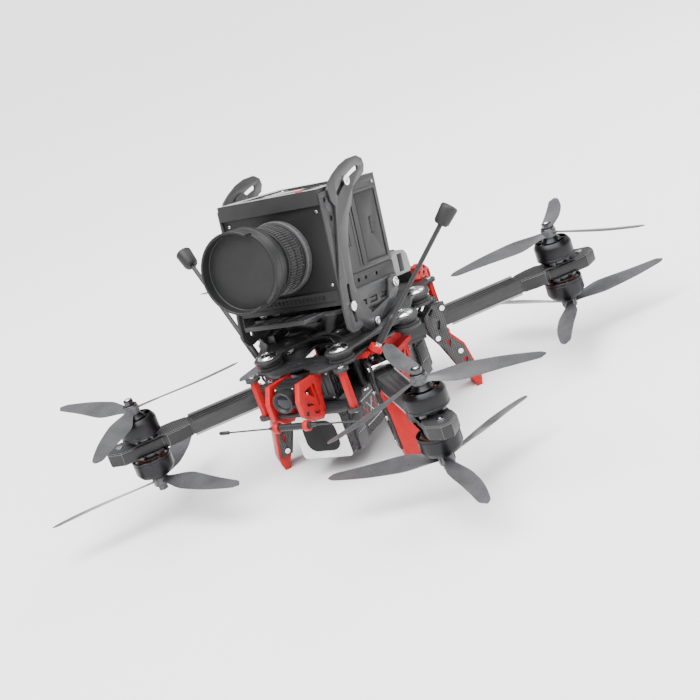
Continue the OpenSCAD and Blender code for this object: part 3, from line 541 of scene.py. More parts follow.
def wide_sun(azimuth, elevation, spread, strength):
    """One very wide sun, so that the floor is lit evenly and shadows stay faint."""
    data = bpy.data.lights.new("sky_dome", "SUN")
    data.angle = math.radians(spread)
    data.energy = strength
    added("sky_dome", data).matrix_world = looking(azimuth, elevation)


def camera_view(azimuth, elevation, roll, distance, target, lens):
    data = bpy.data.cameras.new("view")
    data.lens = lens
    data.sensor_width = 36
    data.clip_end = 500
    camera = added("view", data)
    turn = looking(azimuth, elevation) @ turned(roll)
    camera.matrix_world = moved(target) @ turn @ moved((0, 0, distance))
    bpy.context.scene.camera = camera


pale_stage()
wide_sun(20, 68, 70, 7.5)
soft_light("key", -35, 62, 1.6, 1.2, 20)
soft_light("rim", 150, 40, 1.6, 1.0, 14)
soft_light("side", 75, 25, 1.6, 0.9, 9)
camera_view(34.52, 19.2, -19.73, 1.35, (0.011, -0.0254, 0.0856), 80.69)


# ---- shaping by region

def regions(obj, material_of):
    """Sets each face's material from a function of its middle and normal, in millimetres at rest."""
    for face in obj.data.polygons:
        face.material_index = material_of(face.center / MM, face.normal)
    return obj


# ---- carbon frame

def frame_plates():
    for node in ("bottom_plate", "middle_plate", "upper_plate", "isolator_plate"):
        bevelled(node, [CARBON_FLAT, CUT_EDGE], 0.22, 1, edge_material=1)
    for corner in CORNERS:
        bevelled(f"arm_{corner}", [SPAR], 0.35, 2)
    bevelled("arm_sheets", [STRIP_GREY], 0.16, 1)
    bevelled("cage_plates", [CARBON_SIDE, CUT_EDGE], 0.25, 2, edge_material=1)
    bevelled("leg_plates", [CARBON_LEG, CUT_EDGE], 0.2, 1, edge_material=1)


def motor_mounts():
    """Stacked plates with woven faces, a machined rim between them, and pale grey rounded edges that are a painted
    highlight.
    """
    mount = bevelled("motor_mounts", [CARBON_FLAT, MOUNT_RIM, PAINTED_EDGE_HIGHLIGHT_AND_TICKS], 0.3, 2, edge_material=2)
    regions(mount, lambda at, normal: 0 if abs(normal.z) > 0.7 else 1)


frame_plates()
motor_mounts()


# ---- red printed parts and soft trim

def side_material(at, normal):
    """Carbon for the plate, and red for the truss outside it and the face behind the truss."""
    behind = abs(at.x) > 35.9 and abs(normal.x) > 0.9 and 38 < at.z < 74
    return 0 if abs(at.x) < 36.01 and not behind else 1


def printed_parts():
    for node, width in (("pilot_camera_brackets", 0.5), ("leg_feet", 0.6), ("antenna_clips", 0.4)):
        bevelled(node, [RED_PRINT], width, 3)
    columns = bevelled("standoffs", [RED_COLUMN, SATIN_BLACK], 0.3, 2)
    regions(columns, lambda at, normal: 1 if abs(at.y) < 70 else 0)
    tail = bevelled("tail_bracket", [RED_PRINT, TUBE_BLACK], 0.5, 3)
    regions(tail, lambda at, normal: 1 if abs(at.x) < 29.9 else 0)
    side = bevelled("side_bracket", [CARBON_SIDE, RED_PRINT], 0.35, 2)
    regions(side, side_material)


def screws():
    for node in ("frame_screws", "leg_screws", "cage_screws", "tilt_screws"):
        bevelled(node, [STEEL, SATIN_STEEL], 0.35, 3, angle_deg=40)


printed_parts()
screws()


# ---- motors and propellers

def station(corner, level):
    """Places a motor drawn upwards from the top of its base. The lower ones hang from theirs."""
    at = Vector(JOINTS[f"{corner}_{level}_spin"]["pos_m"])
    angle = math.atan2(at.y, at.x)
    low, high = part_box("motor_mounts")
    face = high.z + BASE_H * MM if level == "upper" else low.z - BASE_H * MM
    flip = Matrix.Scale(-1, 4, (0, 0, 1)) if level == "lower" else Matrix.Identity(4)
    return moved((at.x, at.y, face)) @ Matrix.Rotation(angle, 4, "Z") @ flip


# heights above a motor's base, and sizes, in millimetres
BELL_R = 17.25
BELL_LOW = 1.2
BELL_TOP = 17.7
SEAT = 21.2  # where the propeller's hub stands
BASE_H = 3.4
TIP = 35.0  # end of the shaft
HUB_H = 7.0
BLADE_ROOT = 4.5
BLADE_TIP = 99.9


def bell_mesh():
    """Magnet ring, spoked crown, cone, shaft, washer and flanged nut."""
    bm = bmesh.new()
    lathe(bm, [(15.6, BELL_LOW), (BELL_R - 0.35, BELL_LOW), (BELL_R, BELL_LOW + 0.35), (BELL_R, 3.2),
        (BELL_R - 0.3, 3.5), (BELL_R - 0.3, 4.0), (BELL_R, 4.3), (BELL_R, 13.2), (BELL_R - 0.35, 14.2),
        (BELL_R - 2.0, 16.9), (BELL_R - 2.8, BELL_TOP), (13.9, BELL_TOP), (13.6, 16.6), (15.0, 14.1),
        (15.6, 13.2)], 96, 0, closed=True)
    for i in range(6):
        spoke = turned(60 * i + 30)
        box(bm, (8.0, -1.5, 15.6), (14.6, 1.5, 17.5), 0, 0.35, spoke)
    lathe(bm, [(0, 15.4), (8.3, 15.4), (9.3, 16.0), (9.3, 17.4), (8.6, 18.0), (7.2, 19.2), (6.3, SEAT),
        (0, SEAT)], 64, 0)
    lathe(bm, [(2.5, SEAT - 0.2), (2.5, TIP - 0.8), (1.9, TIP), (0, TIP)], 32, 1)
    for turn in range(8):
        z = TIP - 1.2 - turn * 0.55
        lathe(bm, [(2.4, z), (2.5, z - 0.14), (2.4, z - 0.28)], 24, 1)
    lathe(bm, [(0, SEAT + HUB_H), (6.2, SEAT + HUB_H), (6.4, SEAT + HUB_H + 0.3),
        (6.4, SEAT + HUB_H + 0.9), (6.1, SEAT + HUB_H + 1.2), (0, SEAT + HUB_H + 1.2)], 48, 2)
    cone = bmesh.ops.create_cone(bm, cap_ends=True, segments=6, radius1=4.55, radius2=4.55, depth=4.6)
    nut = cone["verts"]
    bmesh.ops.translate(bm, vec=(0, 0, SEAT + HUB_H + 3.5), verts=nut)
    top = [v for v in nut if v.co.z > SEAT + HUB_H + 4]
    for face in {f for v in nut for f in v.link_faces}:
        face.material_index = 2
    ring = [e for e in {e for v in top for e in v.link_edges} if all(v in top for v in e.verts)]
    bmesh.ops.bevel(bm, geom=ring, offset=0.5, segments=2, affect="EDGES", profile=0.6)
    lathe(bm, [(2.5, TIP - 2.4), (3.6, TIP - 2.3), (3.3, TIP - 1.8), (2.5, TIP - 1.7)], 32, 3)
    return bm


def stator_mesh():
    """Base plate, laminated poles and copper windings around a bearing tube."""
    bm = bmesh.new()
    lathe(bm, [(2.6, 0), (13.0, 0), (13.0, 0.8), (12.7, 1.0), (6.2, 1.0), (6.2, 3.0), (8.0, 3.0),
        (8.0, 12.5), (5.0, 12.5), (5.0, 14.4), (2.6, 14.4)], 64, 0, closed=True)
    lathe(bm, [(4.0, -BASE_H), (8.8, -BASE_H), (8.8, -0.4), (8.4, 0), (4.0, 0)], 64, 0, closed=True)
    for i in range(4):
        spin = turned(90 * i + 45)
        box(bm, (4.2, -3.1, -BASE_H), (12.9, 3.1, 0), 0, 0.35, spin)
    for i in range(12):
        spin = turned(30 * i)
        for layer in range(9):
            z = 3.05 + layer * 1.05
            box(bm, (12.4, -3.05, z), (14.5, 3.05, z + 0.95), 1, 0, spin)
        box(bm, (7.4, -1.4, 3.4), (12.6, 1.4, 12.1), 1, 0, spin)
        for coil in range(6):
            x = 7.9 + coil * 0.78
            half = 1.9 + 0.12 * coil
            box(bm, (x, -half, 2.6), (x + 0.74, half, 12.9), 2, 0.3, spin)
    for i in range(4):
        spin = turned(90 * i + 45)
        box(bm, (8.2, -1.3, 1.0), (10.8, 1.3, 1.7), 3, 0.3, spin)
    return bm


def blade_section(chord, thick, camber):
    """Points around an airfoil, leading edge first, centred on its quarter chord."""
    stations = [0.0, 0.03, 0.1, 0.22, 0.38, 0.55, 0.74, 0.9, 1.0]

    def half(t):
        return thick * (1.48 * math.sqrt(t) - 0.63 * t - 1.76 * t ** 2 + 1.42 * t ** 3 - 0.51 * t ** 4)

    def line(t):
        return camber * 4 * t * (1 - t)

    over = [((0.38 - t) * chord, line(t) + max(half(t), 0.12)) for t in stations]
    under = [((0.38 - t) * chord, line(t) - max(half(t), 0.12)) for t in reversed(stations)]
    return over + under


def propeller_mesh(hand):
    """Hub with a recessed top, and three twisted blades with swept tips."""
    bm = bmesh.new()
    lathe(bm, [(2.55, 0), (6.3, 0), (6.8, 0.5), (6.8, HUB_H - 0.6), (6.3, HUB_H), (5.6, HUB_H),
        (5.4, HUB_H - 0.3), (2.55, HUB_H - 0.3)], 64, 0, closed=True)
    steps = 26
    for blade in range(3):
        place = turned(120 * blade)
        rings = []
        for i in range(steps + 1):
            t = i / steps
            r = BLADE_ROOT + (BLADE_TIP - BLADE_ROOT) * t
            swell = min(1.0, t / 0.34)
            chord = 7.5 + 12.0 * swell * swell * (3 - 2 * swell) - 11.0 * max(0.0, t - 0.34) ** 1.5 / 0.536
            if t > 0.93:
                chord *= math.sqrt(max(0.03, 1 - ((t - 0.93) / 0.072) ** 2))
            sweep = -5.0 * max(0.0, t - 0.55) ** 1.6 / 0.45 ** 1.6
            twist = math.radians(27 - 19 * t ** 0.6)
            thick = 1.5 - 0.95 * t
            points = blade_section(chord, thick, 0.55 * (1 - t) + 0.25)
            ring = []
            for u, w in points:
                y = hand * ((u + sweep) * math.cos(twist) + w * math.sin(twist) * -1)
                z = HUB_H / 2 + (u * math.sin(twist) + w * math.cos(twist))
                ring.append(bm.verts.new(place @ Vector((r, y, z))))
            rings.append(ring)
        skin(bm, rings)
        bm.faces.new(rings[0])
        bm.faces.new(list(reversed(rings[-1])))
        box(bm, (5.2, -0.4, 1.0), (7.4, 0.4, HUB_H - 1.2), 0, 0.2, turned(120 * blade + 60))
    return bm


BELL_METALS = [MOTOR_BLACK, SATIN_STEEL, NUT_BLACK, STEEL]
STATOR_METALS = [MOTOR_GREY, SATIN_STEEL, COPPER, STEEL]
REST = {"upper": 60, "lower": 0}  # how far the blades are turned at rest, in degrees
HAND = {"front_left": 1, "front_right": -1, "rear_left": -1, "rear_right": 1}


def motors():
    for corner in CORNERS:
        for level in LEVELS:
            tag = f"{corner}_{level}"
            place = station(corner, level)
            bell = make_object("motor_" + tag, bell_mesh(), BELL_METALS, 35, place)
            stands_for(bell, "bell_" + tag)
            seat = place @ moved((0, 0, SEAT * MM)) @ turned(REST[level])
            blades = make_object("blades_" + tag, propeller_mesh(HAND[corner]), [BLADE], 40, seat)
            stands_for(blades, "propeller_" + tag)
            coils = make_object("windings_" + tag, stator_mesh(), STATOR_METALS, 35, place)
            stands_for(coils, f"stators_{level}")


motors()


# ---- the tilting camera

# the camera is drawn level and leans nose down; the lens is drawn upwards from its mount
CAM = moved((0, 0, 0.070)) @ turned(-12.5, "X")
FACE = -83.5
LENS = CAM @ moved((0, FACE * MM, 0.104)) @ turned(90, "X")


def band(bm, inner, outer, low, high, start, end, steps, material=0):
    """Part of a ring about z, between two angles in degrees, with a rounded rim."""
    lip = 0.4
    profile = [(inner, low), (outer, low), (outer, high - lip), (outer - lip, high), (inner + lip, high),
        (inner, high - lip)]
    rings = []
    for i in range(steps + 1):
        a = math.radians(start + (end - start) * i / steps)
        rings.append([bm.verts.new((r * math.cos(a), r * math.sin(a), z)) for r, z in profile])
    skin(bm, rings, material)
    for cap in (rings[0], list(reversed(rings[-1]))):
        bm.faces.new(cap).material_index = material


def toothed(bm, inner, root, crest, low, high, teeth, material=0):
    """A ring about z with straight square ribs outside."""
    outline = []
    for i in range(teeth):
        for radius, share in ((root, -0.42), (crest, -0.24), (crest, 0.24), (root, 0.42)):
            outline.append((radius, 2 * math.pi * (i + share) / teeth))
    levels = []
    for z, ease in ((low, 0.35), (low + 0.35, 0), (high - 0.35, 0), (high, 0.35)):
        ring = [((r - ease) * math.cos(a), (r - ease) * math.sin(a), z) for r, a in outline]
        levels.append([bm.verts.new(point) for point in ring])
    hole = [[bm.verts.new((inner * math.cos(a), inner * math.sin(a), z)) for _, a in outline]
            for z in (low, high)]
    skin(bm, [hole[0]] + levels + [hole[1], hole[0]], material)


def socket_screws(bm, xs, ys, zs, axis, radius, head, pit=1):
    """Small domed screw heads with a hexagonal pit, at every combination of x, y and z."""
    dome = [(0, 0), (radius, 0), (radius, 0.3), (radius * 0.8, 0.75), (radius * 0.55, 0.9), (0, 0.9)]
    for at in itertools.product(xs, ys, zs):
        with placed(bm, moved(at) @ aimed(axis)):
            lathe(bm, dome, 20, head)
            lathe(bm, [(0, 0.92), (radius * 0.45, 0.92), (0, 0.3)], 6, pit)


def camera_shell():
    body = bevelled("camera_body", [SHELL, SHELL_DARK, PANEL_GREY], 0.7, 3)
    to_camera = CAM.inverted()

    def material_of(at, normal):
        spot = (to_camera @ (at * MM)) / MM
        facing = to_camera.to_3x3() @ normal
        if facing.z > 0.9 and spot.z > 151:
            return 2 if abs(spot.x) < 36 and spot.y < -4 else 0
        if facing.y < -0.9 and spot.y > -84:
            return 1
        return 1 if facing.y > 0.9 and abs(spot.x) < 42 and spot.z > 90 else 0

    regions(body, material_of)
    bm = bmesh.new()
    # top panel: frame, screen and keys
    box(bm, (-30, -70, 152.6), (12, -34, 153.3), 1, 0.3)
    box(bm, (-27.5, -68, 153.1), (9.5, -36, 153.5), 3, 0.15)
    for i in range(3):
        for j in range(2):
            box(bm, (16 + 6.5 * j, -66 + 9 * i, 152.7), (20.5 + 6.5 * j, -61 + 9 * i, 153.6), 1, 0.5)
    socket_screws(bm, (-33, 33), (-71, -10), [152.7], (0, 0, 1), 1.5, 4)
    for i in range(16):
        box(bm, (-22 + i * 2.8, -28, 152.6), (-20.7 + i * 2.8, -12, 153.4), 1, 0.2)
    # front: painted shade as a dark strip under the brow, lower vents and four screws
    box(bm, (-49.2, -84.6, 140.2), (49.2, -83.2, 141.0), 1, 0.2)
    box(bm, (-46, -87.0, 61.5), (46, -86.2, 62.3), 1, 0.2)
    for i in range(18):
        box(bm, (-36 + i * 4.1, -87.0, 64.2), (-33.6 + i * 4.1, -86.2, 67.6), 1, 0.25)
    socket_screws(bm, (-44, 44), [-83.4], (75, 136), (0, -1, 0), 1.4, 4)
    # side seams and vents
    for side in (-1, 1):
        inner, outer = sorted((side * 49.6, side * 50.15))
        box(bm, (inner, -84, 143.4), (outer, 5.6, 144.2), 1, 0.15)
        box(bm, (inner, -56, 148.2), (outer, 4.5, 150.8), 0, 0.25)
        box(bm, (inner, -44.4, 82), (outer, -43.6, 141), 1, 0.15)
        for i in range(9):
            box(bm, (inner, -76 + i * 2.9, 100), (outer, -74.9 + i * 2.9, 128), 1, 0.2)
        socket_screws(bm, [side * 49.9], (-80, 2), (62.5, 147), (side, 0, 0), 1.3, 4)
    for z in (90, 103, 116, 129):
        box(bm, (-50.15, -30, z), (-49.6, -8, z + 9), 1, 0.25)
        box(bm, (-50.3, -28.6, z + 1.4), (-49.7, -9.4, z + 7.6), 0, 0.3)
    # connectors on the back panel
    for x in (-32, -16, 0):
        for z in (118, 131):
            with placed(bm, moved((x, 6.1, z)) @ turned(-90, "X")):
                lathe(bm, [(2.0, 0), (4.6, 0), (4.6, 1.0), (4.2, 1.3), (2.3, 1.3), (2.0, 0.4)], 32, 4,
                    closed=True)
                lathe(bm, [(0, 0.1), (2.0, 0.1), (2.0, 0.3), (0, 0.3)], 24, 1)
    box(bm, (14, 5.9, 112), (36, 7.2, 138), 0, 0.6)
    for i in range(8):
        box(bm, (16, 7.0, 114 + 3 * i), (34, 7.45, 115.3 + 3 * i), 1, 0.15)
    box(bm, (-38, 5.9, 96), (38, 6.6, 97), 1, 0.2)
    box(bm, (-36, 5.9, 100), (-12, 6.9, 108), 1, 0.5)
    box(bm, (-6, 5.9, 100), (6, 6.9, 108), 1, 0.5)
    detail = make_object("camera_trim", bm, [SHELL, SHELL_DARK, PANEL_GREY, SCREEN, SATIN_STEEL], 35, CAM)
    joins(detail, "camera_body")


def camera_parts():
    cradle = bevelled("camera_cradle", [CARBON_FLAT, CARBON_SIDE, CUT_EDGE], 0.2, 1, edge_material=2)
    regions(cradle, lambda at, normal: 1 if abs(normal.x) > 0.8 else 0)
    bevelled("media_door", [SHELL], 0.35, 2)
    bm = bmesh.new()
    box(bm, (49.7, -15.6, 105.4), (50.12, -11.8, 118.6), 1, 0.15)
    for i in range(3):
        box(bm, (49.8, -14.9, 107.6 + 3.6 * i), (50.15, -12.5, 108.6 + 3.6 * i), 0, 0.15)
    arrow = [bm.verts.new((50.05, y, z)) for y, z in ((-9.0, 110.2), (-6.6, 112), (-9.0, 113.8))]
    bm.faces.new(arrow).material_index = 1
    for y in (-31.1, 0.1):
        box(bm, (49.7, y, 84), (50.1, y + 0.5, 140), 1, 0.1)
    for z in (83.9, 139.5):
        box(bm, (49.7, -31.1, z), (50.1, 0.5, z + 0.5), 1, 0.1)
    joins(make_object("door_trim", bm, [SHELL, SHELL_DARK], 35, CAM), "media_door")
    bevelled("record_button", [BUTTON_RED], 0.7, 4)
    bevelled("cage_blocks", [MOTOR_GREY], 0.5, 3)
    bevelled("camera_battery", [BATTERY_GREY], 1.6, 4, angle_deg=24)
    bm = bmesh.new()
    for side in (-1, 1):
        inner, outer = sorted((side * 48.1, side * 48.62))
        box(bm, (inner, 19.5, 64), (outer, 27.5, 79.5), 0, 0.25)
        box(bm, (inner, 9.5, 63.2), (outer, 10.3, 75.6), 0, 0.15)
        for i in range(4):
            box(bm, (side * 24.4 - 8, 37.2, 65.6 + 2.5 * i), (side * 24.4 + 8, 40.2, 66.7 + 2.5 * i), 0,
                0.2)
        for x in (side * 24.4 - 14, side * 24.4 + 14):
            box(bm, (x - 3.2, 22, 82.2), (x + 3.2, 30, 83.1), 0, 0.4)
    joins(make_object("battery_marks", bm, [SHELL_DARK], 35, CAM), "camera_battery")


def lens():
    bm = bmesh.new()
    # light ring at the mount, then the fixed tube
    lathe(bm, [(27.2, 0), (30.5, 0), (30.8, 0.4), (30.8, 5.2), (30.2, 6), (27.2, 6)], 128, 1, closed=True)
    lathe(bm, [(27.2, 6), (28.6, 6), (28.6, 9.0), (28.1, 9.6), (27.2, 9.6)], 128, 0, closed=True)
    lathe(bm, [(15.2, -12), (22.4, -12), (22.4, 0), (27.2, 0), (27.2, 36.2), (15.2, 36.2)], 128, 0,
        closed=True)
    for turn in range(5):
        z = 32.6 + 0.7 * turn
        lathe(bm, [(27.1, z), (27.5, z + 0.15), (27.5, z + 0.35), (27.1, z + 0.5)], 128, 0)
    for i in range(40):
        spin = turned(9 * i)
        box(bm, (30.5, -0.18, 3.0), (30.9, 0.18, 5.0 if i % 5 else 4.2), 2, 0, spin)
    # hood: flare, rim with a chamfer, flat front and the half ring
    lathe(bm, [(0, 36), (27.2, 36), (27.9, 36.2), (29, 37), (31.2, 39.6), (32.9, 42.2), (33.8, 44.4),
        (33.8, 50), (33.4, 50.4), (33.4, 51.2), (33.8, 51.6), (33.8, 56.4), (33.4, 57.2), (31.6, 57.9),
        (31.2, 57.6), (31.0, 57.2), (0, 57.2)], 160, 3)
    band(bm, 31.9, 33.8, 57.6, 66.5, 60, 300, 120, 3)
    lathe(bm, [(0, 57.25), (30.2, 57.25), (30.2, 57.35), (0, 57.35)], 160, 4)
    lathe(bm, [(24.0, 57.34), (24.5, 57.42), (25, 57.34)], 128, 3)
    stands_for(make_object("lens_tube", bm, [LENS_BLACK, LENS_GREY, PAINTED_EDGE_HIGHLIGHT_AND_TICKS, HOOD, HOOD_FACE], 30,
        LENS), "lens_barrel")
    bm = bmesh.new()
    lathe(bm, [(27.3, 10), (28.7, 10), (28.9, 10.3), (28.9, 12.2), (28.6, 12.6), (27.3, 12.6)], 128, 0,
        closed=True)
    toothed(bm, 27.3, 28.5, 29.55, 12.6, 20.6, 78, 1)
    lathe(bm, [(27.3, 20.6), (28.4, 20.6), (28.4, 22.0), (27.3, 22.0)], 128, 0, closed=True)
    toothed(bm, 27.3, 28.5, 29.55, 22.0, 30.0, 78, 1)
    lathe(bm, [(27.3, 30), (28.6, 30), (28.9, 30.4), (28.9, 31.6), (28.6, 32), (27.3, 32)], 128, 0,
        closed=True)
    for i in range(24):
        spin = turned(15 * i)
        box(bm, (28.6, -0.15, 10.5), (28.98, 0.15, 12.0), 2, 0, spin)
    stands_for(make_object("focus_grip", bm, [LENS_BLACK, FOCUS_RUBBER, PAINTED_EDGE_HIGHLIGHT_AND_TICKS], 30, LENS), "focus_ring")


camera_shell()
camera_parts()
lens()


# ---- dampers, electronics and nose

def dampers():
    """Waisted rubber rings on pins, each with a domed cap over the upper plate's pin."""
    rubber_low, rubber_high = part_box("damper_rubbers")
    base = rubber_low.z / MM
    height = rubber_high.z / MM - base
    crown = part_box("isolator_plate")[1].z / MM
    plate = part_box("upper_plate")[0].z / MM
    rings = bmesh.new()
    caps = bmesh.new()
    for x, y in ((36, -76.6), (70, -19), (58, 30)):
        for side in (-1, 1):
            with placed(rings, moved((side * x, y, base))):
                lathe(rings, [(2.6, 0), (10.3, 0), (10.9, 0.5), (11.0, 1.2), (10.6, 2.0), (9.3, 2.4),
                    (8.6, height / 2), (9.3, height - 2.4), (10.6, height - 2.0), (11.0, height - 1.2),
                    (10.9, height - 0.5), (10.3, height), (2.6, height)], 64, 0, closed=True)
            with placed(caps, moved((side * x, y, 0))):
                lathe(caps, [(0, crown), (8.4, crown), (8.6, crown + 0.25), (8.5, crown + 0.8),
                    (7.7, crown + 1.7), (6.2, crown + 2.6), (4.4, crown + 3.2), (2.9, crown + 3.4),
                    (2.6, crown + 3.2), (2.4, crown + 1.6), (0, crown + 1.4)], 64, 0)
                lathe(caps, [(0, plate - 2.4), (4.2, plate - 2.4), (4.6, plate - 2.1), (6.2, plate - 0.3),
                    (6.2, plate), (0, plate)], 48, 0)
                lathe(caps, [(2.4, plate), (2.5, plate), (2.5, crown), (2.4, crown)], 32, 1)
    stands_for(make_object("damper_rings", rings, [DAMPER], 40), "damper_rubbers")
    stands_for(make_object("damper_domes", caps, [STEEL, SATIN_STEEL], 40), "damper_caps")


def pilot_camera():
    at = moved(JOINTS["pilot_camera_tilt"]["pos_m"])
    bm = bmesh.new()
    box(bm, (-10, -6, -10), (10, 3.4, 10), 0, 0.9)
    box(bm, (-9.6, 3.4, -9.6), (9.6, 4.4, 9.6), 1, 0.2)
    box(bm, (-10, 4.4, -10), (10, 13, 10), 0, 0.9)
    socket_screws(bm, (-8.4, 8.4), [-6], (-8.4, 8.4), (0, -1, 0), 0.9, 3)
    box(bm, (-5, 12.6, -3), (5, 13.0, 3), 1, 0.1)
    with placed(bm, turned(90, "X")):
        lathe(bm, [(0, 5.6), (8, 5.6), (8, 8.6), (7.7, 9.0), (8.9, 9.0), (9.3, 9.4), (9.3, 14.6),
            (8.9, 15), (8.0, 15), (7.6, 14.6), (6.4, 13.2), (0, 13.2)], 64, 2)
        for turn in range(4):
            z = 10.2 + turn * 1.1
            lathe(bm, [(9.25, z), (9.3, z + 0.2), (9.05, z + 0.4), (9.25, z + 0.6)], 64, 1)
        lathe(bm, [(0, 14.6), (2.6, 14.45), (4.6, 14.0), (6.3, 13.2)], 48, 4)
    for side in (-1, 1):
        with placed(bm, turned(90 * side, "Y")):
            lathe(bm, [(0, 9.8), (1.55, 9.8), (1.55, 16.4), (1.2, 16.8), (0, 16.8)], 32, 3)
    obj = make_object("pilot_camera_shape", bm, [SATIN_BLACK, SHELL_DARK, LENS_BLACK, STEEL, GLASS], 35, at)
    stands_for(obj, "pilot_camera")


def whip_and_bar():
    low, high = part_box("receiver_antenna")
    at = (low + high) / 2
    turn = moved(at) @ turned(90, "Y")
    bm = bmesh.new()
    lathe(bm, [(0, -19), (2.6, -19), (3.0, -18.6), (3.0, 18.6), (2.6, 19), (0, 19)], 48, 0)
    for side in (-1, 1):
        with placed(bm, turned(0 if side > 0 else 180, "X")):
            lathe(bm, [(0.8, 18.8), (1.7, 19), (1.5, 22), (0.9, 24), (0.8, 24)], 32, 1)
            lathe(bm, [(0, 19), (0.72, 19), (0.72, 66), (0, 66)], 24, 1)
            lathe(bm, [(0, 64.6), (1.2, 64.8), (1.65, 65.4), (1.65, 73.6), (1.3, 74.7), (0, 74.95)], 32, 0)
    stands_for(make_object("whip", bm, [SATIN_BLACK, RUBBER_TUBE], 40, turn), "receiver_antenna")
    low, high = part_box("crash_bar")
    at = (low + high) / 2
    half = (high.x - low.x) / 2 / MM
    bm = bmesh.new()
    lathe(bm, [(0, -half), (1.2, -half), (1.3, -half + 0.6), (2.0, -half), (2.2, -half + 0.3),
        (2.2, half - 0.3), (2.0, half), (1.3, half - 0.6), (1.2, half), (0, half)], 48, 0)
    for z in (-half + 5.2, half - 5.2):
        lathe(bm, [(2.15, z - 0.6), (2.2, z - 0.4), (2.2, z + 0.4), (2.15, z + 0.6)], 48, 1)
    stands_for(make_object("nose_bar", bm, [TUBE_BLACK, SATIN_STEEL], 40, moved(at) @ turned(90, "Y")),
        "crash_bar")


def video_antennas():
    base = Vector((57, -59, 96))
    tip = Vector((132.5, -10, 186))
    length = (tip - base).length
    end = length - 8.5
    bm = bmesh.new()
    for side in (-1, 1):
        start = Vector((side * base.x, base.y, base.z))
        aim = Vector((side * tip.x, tip.y, tip.z)) - start
        with placed(bm, moved(start) @ aimed(aim)):
            lathe(bm, [(0, 0), (2.7, 0), (3.0, 0.3), (3.0, 2.6), (0, 2.6)], 6, 0)
            for turn in range(6):
                z = 2.6 + turn * 0.62
                lathe(bm, [(2.3, z), (2.6, z + 0.3), (2.3, z + 0.62)], 32, 0)
            lathe(bm, [(0, 6.2), (2.7, 6.2), (3.0, 6.5), (3.0, 8.3), (0, 8.5)], 6, 0)
            lathe(bm, [(0, 8.4), (3.0, 8.4), (3.2, 8.8), (3.2, 30), (2.9, 33.6), (2.1, 34.6), (2.0, 35),
                (2.0, end), (0, end)], 48, 1)
            for z in (12, 15, 18):
                lathe(bm, [(3.15, z), (3.2, z + 0.3), (2.9, z + 0.6), (2.9, z + 0.9), (3.2, z + 1.2)], 48,
                    1)
            lathe(bm, [(0, end), (2.9, end), (5.3, end + 0.3), (5.7, end + 1.0), (6.6, end + 2.4),
                (7.35, end + 15.2), (7.2, end + 16.1), (6.5, end + 16.9), (5.6, end + 16.9),
                (5.4, end + 16.5), (0, end + 16.5)], 64, 2)
            for i in range(6):
                spin = turned(60 * i)
                box(bm, (2.6, -0.5, end + 16.4), (4.4, 0.5, end + 16.8), 1, 0.15, spin)
            lathe(bm, [(0, end + 16.4), (1.5, end + 16.4), (1.5, end + 16.8), (0, end + 16.8)], 24, 1)
    stands_for(make_object("link_antennas", bm, [FERRULE, TUBE_BLACK, SHELL]), "video_antennas")


dampers()
pilot_camera()
whip_and_bar()
video_antennas()


# ---- battery and electronics

def rounded_slab(bm, half_w, half_h, radius, thick, material, matrix):
    """A flat pad with well rounded corners and an eased rim, from z = 0 up."""
    loops = []
    for z, ease in ((-0.3, 0), (thick - 0.3, 0), (thick, 0.35)):
        ring = []
        for corner, (sx, sy) in enumerate(((1, 1), (-1, 1), (-1, -1), (1, -1))):
            for step in range(9):
                a = math.radians(90 * corner + 11.25 * step)
                ring.append(bm.verts.new(matrix @ Vector((
                    sx * (half_w - radius) + (radius - ease) * math.cos(a),
                    sy * (half_h - radius) + (radius - ease) * math.sin(a), z))))
        loops.append(ring)
    skin(bm, loops, material)
    for cap in (list(reversed(loops[0])), loops[-1]):
        bm.faces.new(cap).material_index = material


